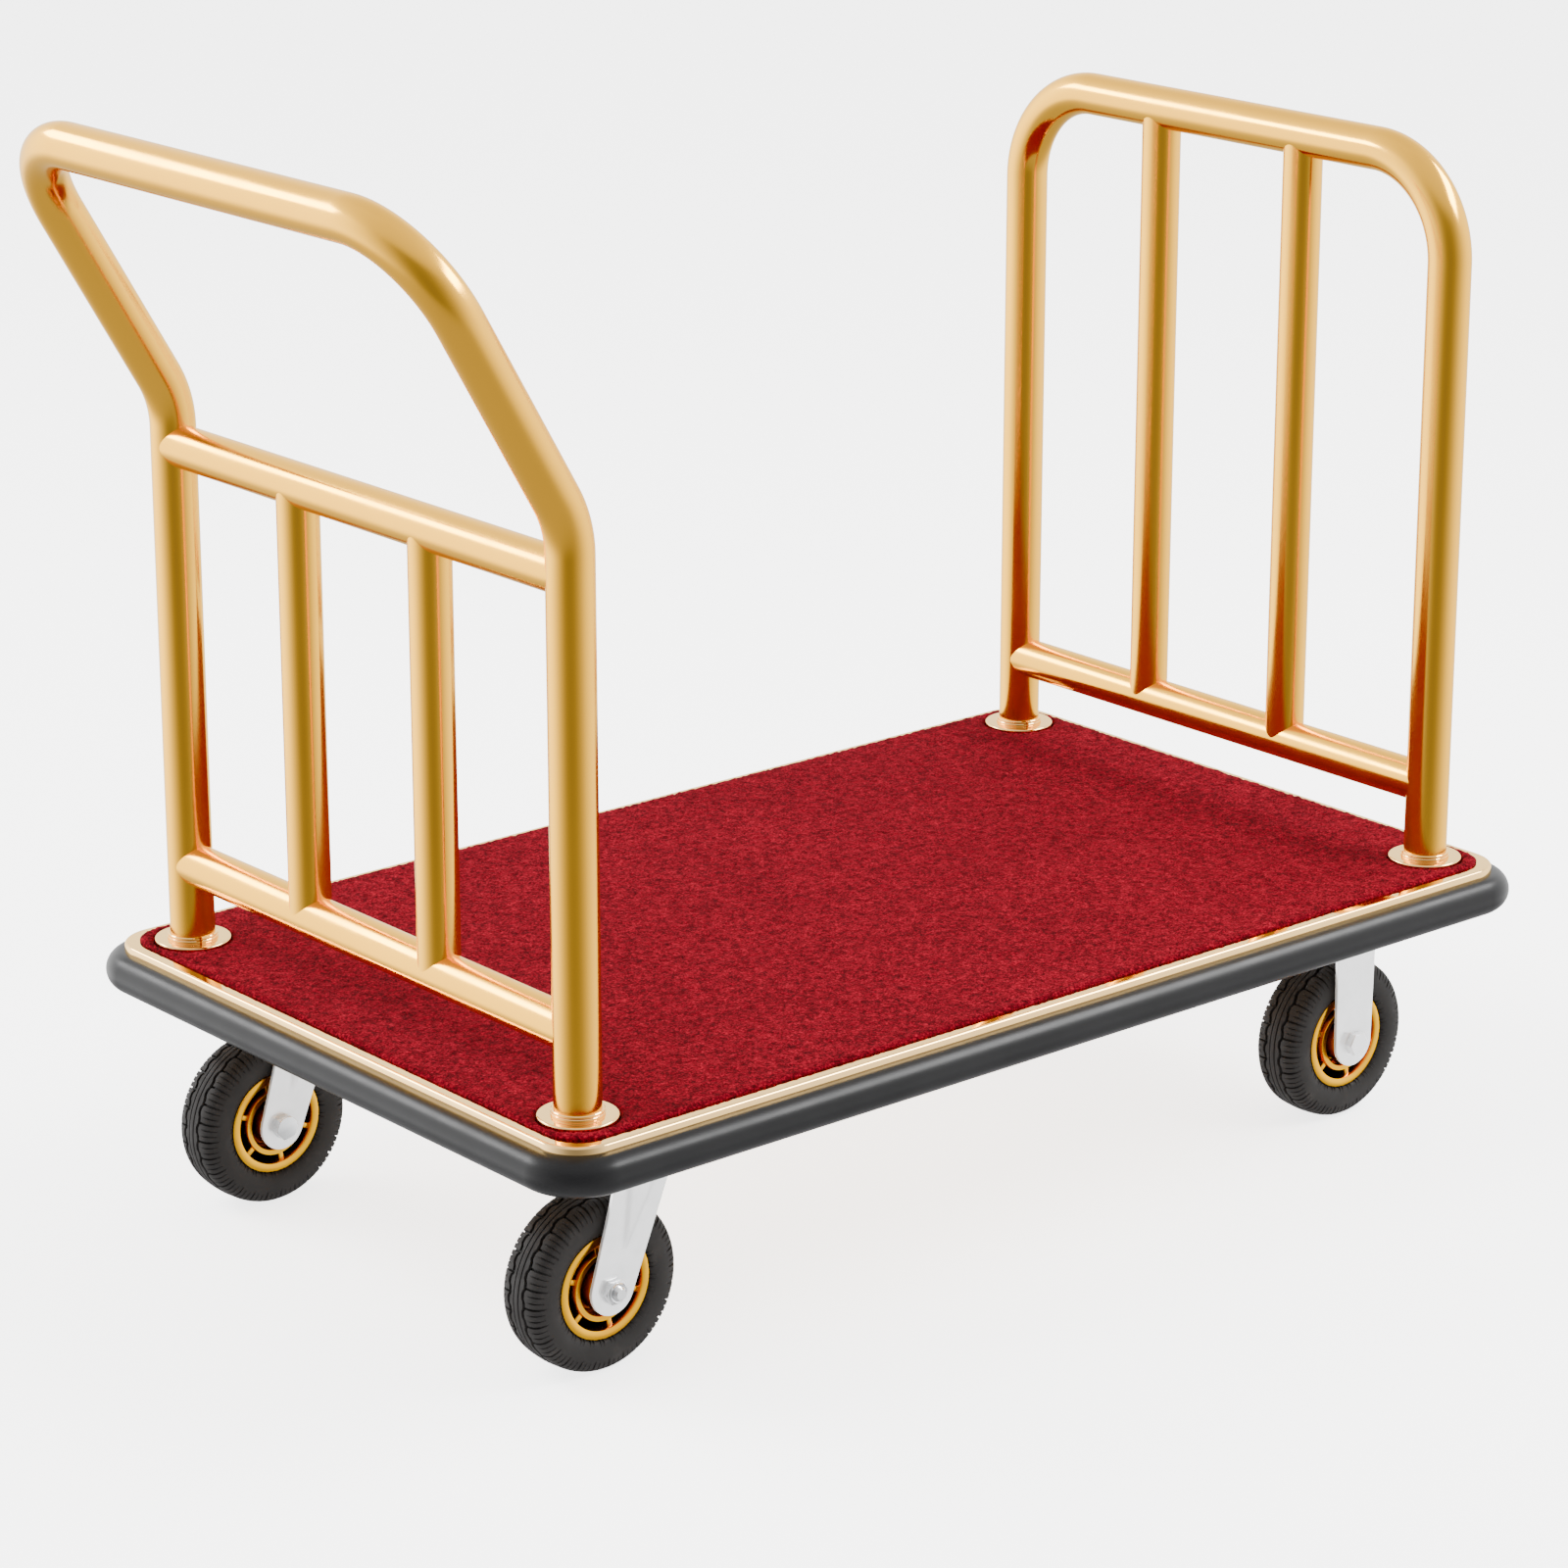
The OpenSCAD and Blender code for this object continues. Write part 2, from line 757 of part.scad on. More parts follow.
module axle_nut(e, s, outward) {
    color(zinc) at_axle(e, s) rotate([outward * s * 90, 0, 0]) translate([0, 0, fork_outer])
        difference() {
            union() {
                cylinder(h = axle_nut_height - axle_collar_height, r = hex_radius(axle_flats), $fn = 6);
                cylinder(h = axle_nut_height, r = axle_collar_radius);
            }
            translate([0, 0, -eps]) cylinder(h = axle_nut_height + 2 * eps, r = axle_radius);
        }
}

// ---------- Wheels ----------

module at_wheel(e, s) {
    at_axle(e, s) rotate([90, 0, 0]) children();
}

module slab(outer, inner, half) {
    translate([0, 0, -half]) ring(outer, inner, 2 * half);
}

module rim(e, s) {
    spoke_half = rim_half - spoke_inset;
    color(yellow) at_wheel(e, s) {
        slab(rim_radius, rim_radius - rim_lip, rim_half);
        slab(rim_ring_outer, rim_ring_inner, rim_half - rim_ring_inset);
        slab(rim_radius - rim_lip + eps, hub_radius - eps, web_half);
        slab(hub_radius, bearing_radius, hub_half);
        for (i = [0 : spoke_count - 1]) rotate(i * 360 / spoke_count)
            translate([rim_ring_outer - eps, -spoke_width / 2, -spoke_half])
                cube([rim_radius - rim_lip - rim_ring_outer + 2 * eps, spoke_width, 2 * spoke_half]);
    }
}

module tyre_section() {
    radius = wheel_diameter / 2;
    half = tyre_width / 2;
    difference() {
        union() {
            translate([rim_radius, -half])
                square([radius - tyre_shoulder - rim_radius, tyre_width]);
            translate([rim_radius, -half + tyre_shoulder])
                square([radius - rim_radius, tyre_width - 2 * tyre_shoulder]);
            for (y = [-1, 1]) translate([radius - tyre_shoulder, y * (half - tyre_shoulder)])
                circle(tyre_shoulder);
        }
        for (i = [-1 : 1])
            translate([radius - tread_groove_depth, i * tread_groove_spacing - tread_groove_width / 2])
                square([tread_groove_depth + eps, tread_groove_width]);
    }
}

module tyre(e, s) {
    color(black) at_wheel(e, s) rotate_extrude($fn = 96) tyre_section();
}

module bearing(e, s) {
    color(steel) at_wheel(e, s)
        slab(bearing_radius, sleeve_radius + bearing_clearance, hub_half);
}

module rigid_axle_sleeves() {
    for (s = sides) axle_sleeve(front, s);
}

module rigid_axle_bolts() {
    for (s = sides) axle_bolt(front, s, 1);
}

module rigid_axle_nuts() {
    for (s = sides) axle_nut(front, s, 1);
}

deck_tray();
deck_board();
carpet();
bumper();
frame_cross_rails();
frame_long_rails();
board_screws();
handle_posts();
handle_grip();
handle_cross_rail();
handle_low_rail();
handle_bars();
hoop_tube();
hoop_low_rail();
hoop_bars();
post_flanges();
post_collars();
post_plugs();
post_washers();
post_bolts();
swivel_plates();
swivel_races();
kingpins();
kingpin_washers();
kingpin_nuts();
rigid_plates();
rigid_fork(left);  // rigid_fork_left
rigid_fork(right);  // rigid_fork_right
plate_bolts();
plate_washers();
plate_nuts();
rigid_axle_sleeves();
rigid_axle_bolts();
rigid_axle_nuts();
swivel_fork(left);  // swivel_fork_left
swivel_balls(left);  // swivel_balls_left
dust_ring(left);  // dust_ring_left
axle_sleeve(rear, left);  // axle_sleeve_left
axle_bolt(rear, left, -1);  // axle_bolt_left
axle_nut(rear, left, -1);  // axle_nut_left
swivel_fork(right);  // swivel_fork_right
swivel_balls(right);  // swivel_balls_right
dust_ring(right);  // dust_ring_right
axle_sleeve(rear, right);  // axle_sleeve_right
axle_bolt(rear, right, -1);  // axle_bolt_right
axle_nut(rear, right, -1);  // axle_nut_right
rim(rear, left);  // rim_rear_left
tyre(rear, left);  // tyre_rear_left
bearing(rear, left);  // bearing_rear_left
rim(rear, right);  // rim_rear_right
tyre(rear, right);  // tyre_rear_right
bearing(rear, right);  // bearing_rear_right
rim(front, left);  // rim_front_left
tyre(front, left);  // tyre_front_left
bearing(front, left);  // bearing_front_left
rim(front, right);  // rim_front_right
tyre(front, right);  // tyre_front_right
bearing(front, right);  // bearing_front_right
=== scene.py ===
"""Hotel luggage cart: the looks of every piece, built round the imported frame."""

import functools
import math

import bmesh
import bpy
from mathutils import Matrix, Vector, noise


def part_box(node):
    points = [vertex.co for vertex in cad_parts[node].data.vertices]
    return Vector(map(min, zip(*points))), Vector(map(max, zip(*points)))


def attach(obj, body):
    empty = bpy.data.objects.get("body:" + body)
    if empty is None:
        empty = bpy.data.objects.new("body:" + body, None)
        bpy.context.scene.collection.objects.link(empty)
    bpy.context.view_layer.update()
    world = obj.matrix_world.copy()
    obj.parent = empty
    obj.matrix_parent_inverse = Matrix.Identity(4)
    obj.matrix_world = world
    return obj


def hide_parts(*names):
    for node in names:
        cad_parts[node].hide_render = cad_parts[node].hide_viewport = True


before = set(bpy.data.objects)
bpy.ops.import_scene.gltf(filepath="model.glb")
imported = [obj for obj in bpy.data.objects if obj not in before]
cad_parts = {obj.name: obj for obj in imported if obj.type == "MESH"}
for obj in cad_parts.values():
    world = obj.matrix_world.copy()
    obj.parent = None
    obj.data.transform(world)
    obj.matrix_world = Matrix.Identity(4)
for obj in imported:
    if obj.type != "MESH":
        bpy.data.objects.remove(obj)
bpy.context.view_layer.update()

bl_info = {
    "name": "Hotel luggage cart",
    "version": (1, 0, 0),
    "blender": (4, 5, 0),
    "location": "3D View > Sidebar > Cart",
    "description": "Builds a hotel luggage cart in polished gold tube with a red carpet",
    "category": "Add Mesh",
}

MM = 0.001
TAU = 2 * math.pi
Y, Z = Vector((0, 1, 0)), Vector((0, 0, 1))
SIDES = {"left": 1, "right": -1}
WHEELS = tuple(end + "_" + side for end in ("rear", "front") for side in SIDES)
QUARTER = math.pi / 2
DOUBLES = MM / 100
SHARP = 30
KINK_ABOVE_DECK = 0.472
TRAY_SHEET = 1.5 * MM
FORK_STEEL = 3 * MM
PIN_RADIUS = 6 * MM
ACROSS_FLATS = 19 * MM

CAMERA_PLACE = (-2.5686, -3.0260, 1.6296)
CAMERA_AZIMUTH = -40.32
CAMERA_DIP = 17.94
CAMERA_LENS = 112.15
SENSOR_WIDTH = 36
FLOOR_SIZE = 40
FLOOR_GLOW = 3.2
STUDIO_LIGHT = 10.0
# Brightness of the walls: 0.5 is where the camera stands, 0.25 is to its left, 0.75 is to its
# right, and 0 and 1 are behind the cart
WALLS = ((0.0, 0.24), (0.09, 0.30), (0.16, 0.50), (0.24, 0.44), (0.32, 0.20), (0.40, 0.055),
         (0.46, 0.025), (0.53, 0.025), (0.60, 0.06), (0.68, 0.16), (0.78, 0.32), (0.90, 0.26),
         (1.0, 0.24))
# How far this brightness replaces the walls', from straight down at 0 to straight up at 1
OVERHEAD, CEILING = 0.15, ((0.70, 0.0), (0.82, 0.8), (1.0, 1.0))
UNDERFOOT, CELLAR = 0.075, ((0.0, 1.0), (0.24, 1.0), (0.345, 0.0))
# Each lamp: name, place, aim, size, watts, whether mirrors show it
LAMPS = (("key", (-2.4, 1.2, 3.6), (0, 0, 0.3), (1.6, 1.6), 110, False),
         ("side_strip", (2.2, -1.56, 2.6), (0, -0.33, 0.2), (2.6, 0.9), 170, True),
         ("end_strip", (-2.0, 3.1, 2.6), (-0.5, 0, 0.2), (2.2, 0.9), 115, True))


# ---------- Places that the frame gives ----------

def middle(node):
    low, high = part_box(node)
    return (low + high) / 2


def extent(node):
    low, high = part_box(node)
    return high - low


def highest(node):
    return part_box(node)[1]


def post_places():
    """Where the four posts stand on the deck."""
    y = highest("hoop_tube").y - extent("hoop_tube").x / 2
    return [Vector((middle(post).x, side * y, 0))
            for post in ("handle_posts", "hoop_tube") for side in SIDES.values()]


# ---------- Sizes and colours that a user may change ----------

class CartSizes(bpy.types.PropertyGroup):
    """Sizes of the details that the frame leaves open"""

    tube_sides: bpy.props.IntProperty(
        name="Tube sides", description="Flat faces round each tube", default=96, min=12)
    bend_steps: bpy.props.IntProperty(
        name="Bend steps", description="Steps in each tube bend", default=40, min=4)
    kink_radius: bpy.props.FloatProperty(
        name="Kink radius", description="Bend radius where the handle's legs start to lean",
        default=90 * MM, unit="LENGTH")
    grip_radius: bpy.props.FloatProperty(
        name="Grip corner radius", description="Bend radius at the ends of the grip bar",
        default=80 * MM, unit="LENGTH")
    hoop_radius: bpy.props.FloatProperty(
        name="Hoop corner radius", description="Bend radius at the ends of the hoop's top bar",
        default=88 * MM, unit="LENGTH")
    tray_corner: bpy.props.FloatProperty(
        name="Tray corner radius", description="Corner radius of the deck tray",
        default=37 * MM, unit="LENGTH")
    tray_edge: bpy.props.FloatProperty(
        name="Tray edge radius", description="Rounding between the tray's top and its skirt",
        default=3 * MM, unit="LENGTH")
    pile_step: bpy.props.FloatProperty(
        name="Pile step", description="Distance between neighbouring points of the carpet's pile",
        default=2.75 * MM, unit="LENGTH")
    tread_blocks: bpy.props.IntProperty(
        name="Tread blocks", description="Shoulder blocks on each side of a tyre", default=28, min=8)


class CartColours(bpy.types.PropertyGroup):
    """Colours of the cart's finishes"""

    gold: bpy.props.FloatVectorProperty(
        name="Gold tube", description="Polished champagne-gold tube", subtype="COLOR",
        size=3, default=(0.93, 0.47, 0.034))
    sheet_gold: bpy.props.FloatVectorProperty(
        name="Gold sheet", description="Mirror-polished tray, flanges and collars",
        subtype="COLOR", size=3, default=(0.96, 0.62, 0.24))
    carpet: bpy.props.FloatVectorProperty(
        name="Carpet", description="Lit tips of the carpet's pile", subtype="COLOR",
        size=3, default=(0.155, 0.0024, 0.0095))
    carpet_shade: bpy.props.FloatVectorProperty(
        name="Carpet shade", description="Depth of the carpet's pile", subtype="COLOR",
        size=3, default=(0.045, 0.0008, 0.0018))
    rubber: bpy.props.FloatVectorProperty(
        name="Bumper rubber", description="Black bumper", subtype="COLOR",
        size=3, default=(0.0038, 0.0038, 0.0041))
    tread: bpy.props.FloatVectorProperty(
        name="Tyre rubber", description="Dark tyre rubber", subtype="COLOR",
        size=3, default=(0.0125, 0.0112, 0.0106))
    core: bpy.props.FloatVectorProperty(
        name="Wheel core", description="Golden-yellow wheel core", subtype="COLOR",
        size=3, default=(0.90, 0.46, 0.003))
    zinc: bpy.props.FloatVectorProperty(
        name="Zinc", description="Bright zinc-plated steel", subtype="COLOR",
        size=3, default=(0.93, 0.94, 0.95))


def sizes():
    return bpy.context.scene.cart_sizes


def colours():
    return bpy.context.scene.cart_colours


# ---------- Modelling helpers ----------

def leave_edit():
    if bpy.context.object and bpy.context.object.mode != "OBJECT":
        bpy.ops.object.mode_set(mode="OBJECT")


def clear():
    leave_edit()
    bpy.ops.object.select_all(action="DESELECT")


def bake_place():
    """Moves the active object's place into its mesh."""
    bpy.ops.object.transform_apply(location=True, rotation=True, scale=True)
    return bpy.context.object


def done():
    """Ends an operator with nothing selected."""
    clear()
    return {"FINISHED"}


def enter_edit():
    bpy.ops.object.mode_set(mode="EDIT")
    bpy.ops.mesh.select_all(action="SELECT")


def facing(direction):
    return direction.to_track_quat("Z", "Y").to_euler()


def ring(point, direction, radius):
    """A tube's end, ready to be drawn along its path, in edit mode with all of it selected."""
    clear()
    bpy.ops.mesh.primitive_circle_add(
        vertices=sizes().tube_sides, radius=radius, fill_type="NOTHING", location=point,
        rotation=facing(direction))
    piece = bake_place()
    enter_edit()
    return piece


def outline(points):
    """A closed outline through the points, in edit mode with all of it selected."""
    clear()
    bpy.ops.mesh.primitive_circle_add(vertices=len(points), radius=1, fill_type="NOTHING")
    piece = bpy.context.object
    for vertex, point in zip(piece.data.vertices, points):
        vertex.co = point
    enter_edit()
    return piece


def straight(vector):
    bpy.ops.mesh.extrude_region_move(TRANSFORM_OT_translate={"value": tuple(vector)})


def turn(angle, centre, axis, steps):
    """Spins the selection about the axis, by the right-hand rule."""
    bpy.ops.mesh.spin(
        steps=steps, angle=-angle, center=tuple(centre), axis=tuple(axis), dupli=False)


def pick(kind, test):
    """In edit mode, selects only the vertices, edges or faces that pass the test."""
    bpy.ops.mesh.select_mode(type={"verts": "VERT", "edges": "EDGE", "faces": "FACE"}[kind])
    mesh = bmesh.from_edit_mesh(bpy.context.object.data)
    for part in list(mesh.verts) + list(mesh.edges) + list(mesh.faces):
        part.select = False
    for part in getattr(mesh, kind):
        if test(part):
            part.select_set(True)
    mesh.select_flush_mode()
    bmesh.update_edit_mesh(bpy.context.object.data)


def face_outward():
    bpy.ops.mesh.normals_make_consistent(inside=False)
    leave_edit()


def tidy_mesh(close=True):
    """Merges doubles, closes open ends and turns the faces outward, then leaves edit mode."""
    bpy.ops.mesh.select_mode(type="VERT")
    bpy.ops.mesh.select_all(action="SELECT")
    bpy.ops.mesh.remove_doubles(threshold=DOUBLES)
    if close:
        bpy.ops.mesh.fill_holes(sides=0)
    bpy.ops.mesh.select_all(action="SELECT")
    face_outward()


def smooth(angle=40):
    bpy.ops.object.shade_smooth_by_angle(angle=math.radians(angle))


def modify(piece, kind, **values):
    """Gives the active object a modifier and applies it."""
    modifier = piece.modifiers.new(kind.title(), kind)
    for key, value in values.items():
        setattr(modifier, key, value)
    bpy.ops.object.modifier_apply(modifier=modifier.name)


def bevel(width, segments=2, angle=35):
    """Rounds the active object's sharp edges."""
    leave_edit()
    modify(bpy.context.object, "BEVEL", width=width, segments=segments, limit_method="ANGLE",
           angle_limit=math.radians(angle), harden_normals=False)


def box(low, high):
    """A cube primitive between two corners."""
    clear()
    bpy.ops.mesh.primitive_cube_add(size=1, location=(low + high) / 2, scale=high - low)
    return bake_place()


def grid(columns, rows):
    """A flat grid with this many faces across and along, for its points to be placed."""
    clear()
    bpy.ops.mesh.primitive_grid_add(x_subdivisions=columns, y_subdivisions=rows, size=1)
    return bpy.context.object


def sweep(angle, steps):
    """The angles from 0 up to this one, in even steps."""
    return [angle * i / steps for i in range(steps + 1)]


def in_mm(rows, out=0, up=0):
    """A profile given in millimetres from a starting place."""
    return [(out + a * MM, up + b * MM) for a, b in rows]


def both_ways(rows):
    """A closed profile from the half of it on one side of the middle."""
    return rows + [(out, -up) for out, up in reversed(rows)]


def turned(centre, axis, profile, steps):
    """A solid of revolution: profile is a closed list of (distance from the axis, place along it)."""
    out = axis.orthogonal().normalized()
    piece = outline([centre + out * distance + axis * place for distance, place in profile])
    turn(TAU, centre, axis, steps)
    tidy_mesh()
    return piece


def activate(piece):
    """Makes one object the selected and active one."""
    clear()
    piece.select_set(True)
    bpy.context.view_layer.objects.active = piece


def join(pieces):
    """Joins several new objects into one."""
    activate(pieces[0])
    for piece in pieces:
        piece.select_set(True)
    bpy.ops.object.join()
    return pieces[0]


def repeated(make, places):
    """Yields a piece made at the first place, then copies of it as it is by then at the others."""
    first = make(places[0])
    yield first
    for place in places[1:]:
        activate(first)
        bpy.ops.object.duplicate()
        piece = bpy.context.object
        piece.data.transform(Matrix.Translation(place - places[0]))
        yield piece


def about(centre, matrix):
    """The matrix, applied about a centre instead of the origin."""
    return Matrix.Translation(centre) @ matrix @ Matrix.Translation(-centre)


def paint(piece, look):
    piece.data.materials.clear()
    piece.data.materials.append(finish(look))


def settle(piece, name, look, body, *stands_for):
    """Names a finished piece, gives it its material and ties it to its body."""
    leave_edit()
    piece.name = name
    piece.data.name = name
    paint(piece, look)
    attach(piece, body)
    SLOTS.get(look, look)
    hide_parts(*stands_for)


def on_each_wheel(make, node, name, look):
    """Makes a piece at one wheel and copies it to the others."""
    pieces = repeated(make, [middle(node + wheel) for wheel in WHEELS])
    for piece, wheel in zip(pieces, WHEELS):
        settle(piece, name + wheel, look, "wheel_" + wheel, node + wheel)


# ---------- Materials ----------

class Nodes:
    """Adds nodes to one tree."""

    def __init__(self, tree):
        self.tree = tree

    def feed(self, node, inputs):
        """Sets a node's inputs to values or to other nodes' outputs."""
        for name, value in inputs.items():
            if isinstance(value, bpy.types.NodeSocket):
                self.tree.links.new(value, node.inputs[name])
            else:
                node.inputs[name].default_value = value

    def add(self, kind, output, inputs=None, **values):
        """Adds a node, sets its values, feeds its inputs and gives its output."""
        node = self.tree.nodes.new("ShaderNode" + kind)
        for key, value in values.items():
            setattr(node, key, value)
        self.feed(node, inputs or {})
        return node.outputs[output]

    def ramp(self, source, stops, interpolation="LINEAR"):
        """Colours along a pattern: each stop is (place, colour)."""
        output = self.add("ValToRGB", "Color", {"Fac": source})
        ramp = output.node.color_ramp
        while len(ramp.elements) < len(stops):
            ramp.elements.new(0.5)
        for element, (at, colour) in zip(ramp.elements, stops):
            element.position = at
            element.color = (*colour, 1)
        ramp.interpolation = interpolation
        return output


class Recipe(Nodes):
    """A node material with one Principled shader."""

    def __init__(self, name, colour, metallic, roughness, inputs=None):
        self.material = bpy.data.materials.new(name)
        self.material.use_nodes = True
        super().__init__(self.material.node_tree)
        self.shader = self.tree.nodes["Principled BSDF"]
        self.feed(self.shader, {"Base Color": (*colour, 1), "Metallic": metallic,
                                "Roughness": roughness, **(inputs or {})})
        self.place = self.add("TexCoord", "Object")

    def stretched(self, scale, turn_by=(0, 0, 0)):
        """Object coordinates, stretched along the axes."""
        return self.add("Mapping", "Vector",
                        {"Scale": scale, "Rotation": turn_by, "Vector": self.place})

    def grain(self, scale, detail=3.0, rough=0.5, vector=None):
        return self.add("TexNoise", "Fac", {"Scale": scale, "Detail": detail, "Roughness": rough,
                                            "Vector": vector or self.place})

    def mixed(self, a, b, factor, kind="FLOAT", mode="MIX"):
        """Two patterns mixed, or two colours where the kind is RGBA."""
        return self.add("Mix", "Result", {"Factor": factor, "A": a, "B": b},
                        data_type=kind, blend_type=mode)

    def tone(self, pattern, *stops):
        """Colours the surface along a pattern."""
        self.feed(self.shader, {"Base Color": self.ramp(pattern, stops)})

    def gloss(self, pattern, low, high):
        """Takes the roughness from low to high along a pattern."""
        self.feed(self.shader, {"Roughness": self.add("MapRange", "Result", {
            "From Min": 0.3, "From Max": 0.7, "To Min": low, "To Max": high, "Value": pattern})})

    def bump(self, pattern, depth, strength):
        """Raises the surface by depth, in metres, where the pattern is 1."""
        self.feed(self.shader, {"Normal": self.add("Bump", "Normal", {
            "Distance": depth, "Strength": strength, "Height": pattern})})


def shade(colour, factor):
    return tuple(c * factor for c in colour)


def polished_gold(name, colour, roughness):
    """Polished, gold-plated stainless steel with faint wipe marks."""
    recipe = Recipe(name, colour, 1.0, roughness, {"Specular Tint": (1.0, 0.92, 0.72, 1)})
    wipes = recipe.grain(9.0, 4.0, 0.6, recipe.stretched((1.0, 1.0, 0.35)))
    recipe.gloss(wipes, roughness * 0.7, roughness * 1.5)
    recipe.tone(recipe.grain(2.5, 2.0), (0.3, shade(colour, 0.97)), (0.7, colour))
    recipe.bump(recipe.grain(420.0, 2.0), 0.000015, 0.35)
    return recipe.material


def carpet_pile():
    """Short curled pile: painted light on its tips, painted shade in its depth and between its curls,
    and a soft sheen.
    """
    tips, depth = colours().carpet, colours().carpet_shade
    recipe = Recipe("red_pile", tips, 0.0, 0.95, {
        "Sheen Weight": 0.03, "Sheen Roughness": 0.45, "Sheen Tint": (1.0, 0.12, 0.16, 1),
        "Specular IOR Level": 0.03})
    curls = recipe.add("TexVoronoi", "Distance", {
        "Scale": 360.0, "Vector": recipe.stretched((1.0, 1.25, 1.0), (0.0, 0.0, 0.5))})
    strands = recipe.grain(620.0, 3.0, 0.65)
    fine = recipe.mixed(strands, recipe.grain(130.0, 3.0, 0.6), 0.38)
    # Painted light and shade: along a fine noise the pile goes from its shade colour to its tips, and
    # then to tips lit brighter still.
    colour = recipe.ramp(fine, ((0.36, depth), (0.49, tips), (0.62, shade(tips, 2.3))))
    # Painted shade darkens the gaps between the curls; the broad grain is a random tone of the carpet
    # itself.
    for pattern, stops in (
            (curls, ((0.25, (1.0, 1.0, 1.0)), (0.75, (0.42, 0.36, 0.36)))),
            (recipe.grain(7.0, 2.0), ((0.3, (0.86, 0.84, 0.84)), (0.7, (1.0, 1.0, 1.0))))):
        colour = recipe.mixed(colour, recipe.ramp(pattern, stops), 1.0, "RGBA", "MULTIPLY")
    recipe.feed(recipe.shader, {"Base Color": colour})
    recipe.bump(strands, 0.0012, 0.9)
    return recipe.material


def bumper_rubber():
    """Satin black moulded rubber."""
    colour = colours().rubber
    recipe = Recipe("black_bumper", colour, 0.0, 0.32, {"Specular IOR Level": 0.2})
    recipe.tone(recipe.grain(14.0, 4.0, 0.6), (0.35, colour), (0.75, shade(colour, 1.6)))
    recipe.gloss(recipe.grain(30.0), 0.29, 0.36)
    recipe.bump(recipe.grain(1600.0, 2.0), 0.00001, 0.5)
    return recipe.material


def tyre_rubber():
    """Matt brown-black tyre rubber with a fine skin and a little dust."""
    colour, dust = colours().tread, (0.022, 0.0195, 0.018)
    recipe = Recipe("tyre_rubber", colour, 0.0, 0.5, {"Specular IOR Level": 0.16})
    recipe.tone(recipe.grain(45.0, 4.0, 0.65), (0.3, shade(colour, 0.8)), (0.6, colour), (0.8, dust))
    recipe.gloss(recipe.grain(90.0), 0.46, 0.66)
    recipe.bump(recipe.grain(900.0), 0.00008, 0.5)
    return recipe.material


def wheel_gold():
    """Bright golden-yellow plated wheel core, with painted shade that darkens its recesses and hub cup.
    """
    colour = colours().core
    recipe = Recipe("yellow_core", colour, 1.0, 0.2, {"Specular Tint": (1.0, 0.72, 0.25, 1)})
    flow = recipe.grain(35.0)
    plating = recipe.ramp(
        flow, ((0.3, (colour[0] * 0.9, colour[1] * 0.8, colour[2])), (0.7, colour)))
    # Painted shade: a near-black colour where the recess attribute marks the deep spoke windows and the
    # hub cup.
    painted_recess_shade = recipe.ramp(flow, ((0.3, (0.004, 0.002, 0.001)), (0.7, (0.012, 0.005, 0.001))))
    recess = recipe.add("Attribute", "Fac", attribute_name="recess")
    recipe.feed(recipe.shader, {"Base Color": recipe.mixed(plating, painted_recess_shade, recess, "RGBA")})
    recipe.gloss(recipe.grain(60.0), 0.14, 0.26)
    recipe.bump(recipe.grain(700.0, 2.0), 0.00003, 0.4)
    return recipe.material


def zinc_plate(name, metallic, roughness):
    """Bright zinc plating over pressed steel, with a faint brushed flow."""
    colour = colours().zinc
    recipe = Recipe(name, colour, metallic, roughness)
    brush = recipe.grain(160.0, 3.0, 0.6, recipe.stretched((1.0, 1.0, 0.12)))
    spangle = recipe.grain(55.0, 3.0, 0.55)
    recipe.gloss(recipe.mixed(brush, spangle, 0.5), roughness * 0.75, roughness * 1.35)
    recipe.tone(spangle, (0.3, shade(colour, 0.9)), (0.7, colour))
    recipe.bump(brush, 0.00004, 0.35)
    return recipe.material


def frame_paint():
    """Grey primer on the rails under the deck."""
    colour = (0.085, 0.087, 0.09)
    recipe = Recipe("grey_primer", colour, 0.15, 0.5)
    recipe.tone(recipe.grain(24.0, 4.0, 0.6), (0.3, shade(colour, 0.8)), (0.75, shade(colour, 1.35)))
    recipe.gloss(recipe.grain(70.0), 0.42, 0.6)
    recipe.bump(recipe.grain(520.0), 0.0001, 0.5)
    return recipe.material


def plywood_sheet():
    """Raw plywood: long grain with dark pores."""
    recipe = Recipe("plywood", (0.50, 0.33, 0.18), 0.0, 0.62)
    long_grain = recipe.stretched((0.06, 1.0, 1.0))
    rings = recipe.grain(70.0, 5.0, 0.6, long_grain)
    pores = recipe.grain(520.0, 2.0, 0.5, long_grain)
    recipe.tone(recipe.mixed(rings, pores, 0.3),
                (0.34, (0.30, 0.17, 0.08)), (0.5, (0.50, 0.33, 0.17)), (0.68, (0.62, 0.44, 0.26)))
    recipe.gloss(rings, 0.52, 0.72)
    recipe.bump(pores, 0.00025, 0.5)
    return recipe.material


LOOKS = {  # each look, and what makes its material
    "gold_tube": lambda: polished_gold("gold_tube", colours().gold, 0.17),
    "gold_sheet": lambda: polished_gold("gold_sheet", colours().sheet_gold, 0.04),
    "carpet": carpet_pile,
    "rubber": bumper_rubber,
    "tyre": tyre_rubber,
    "yellow_core": wheel_gold,
    "zinc": lambda: zinc_plate("bright_zinc", 0.7, 0.2),
    "hardware": lambda: zinc_plate("bolt_zinc", 1.0, 0.13),
    "bearing_steel": lambda: zinc_plate("ground_steel", 1.0, 0.3),
    "frame_steel": frame_paint,
    "plywood": plywood_sheet,
}
SLOTS = {"hardware": "zinc"}  # the slots that aren't named like their looks


@functools.cache
def finish(look):
    """The cart's materials, each made once."""
    return LOOKS[look]()


# ---------- Shared shapes ----------

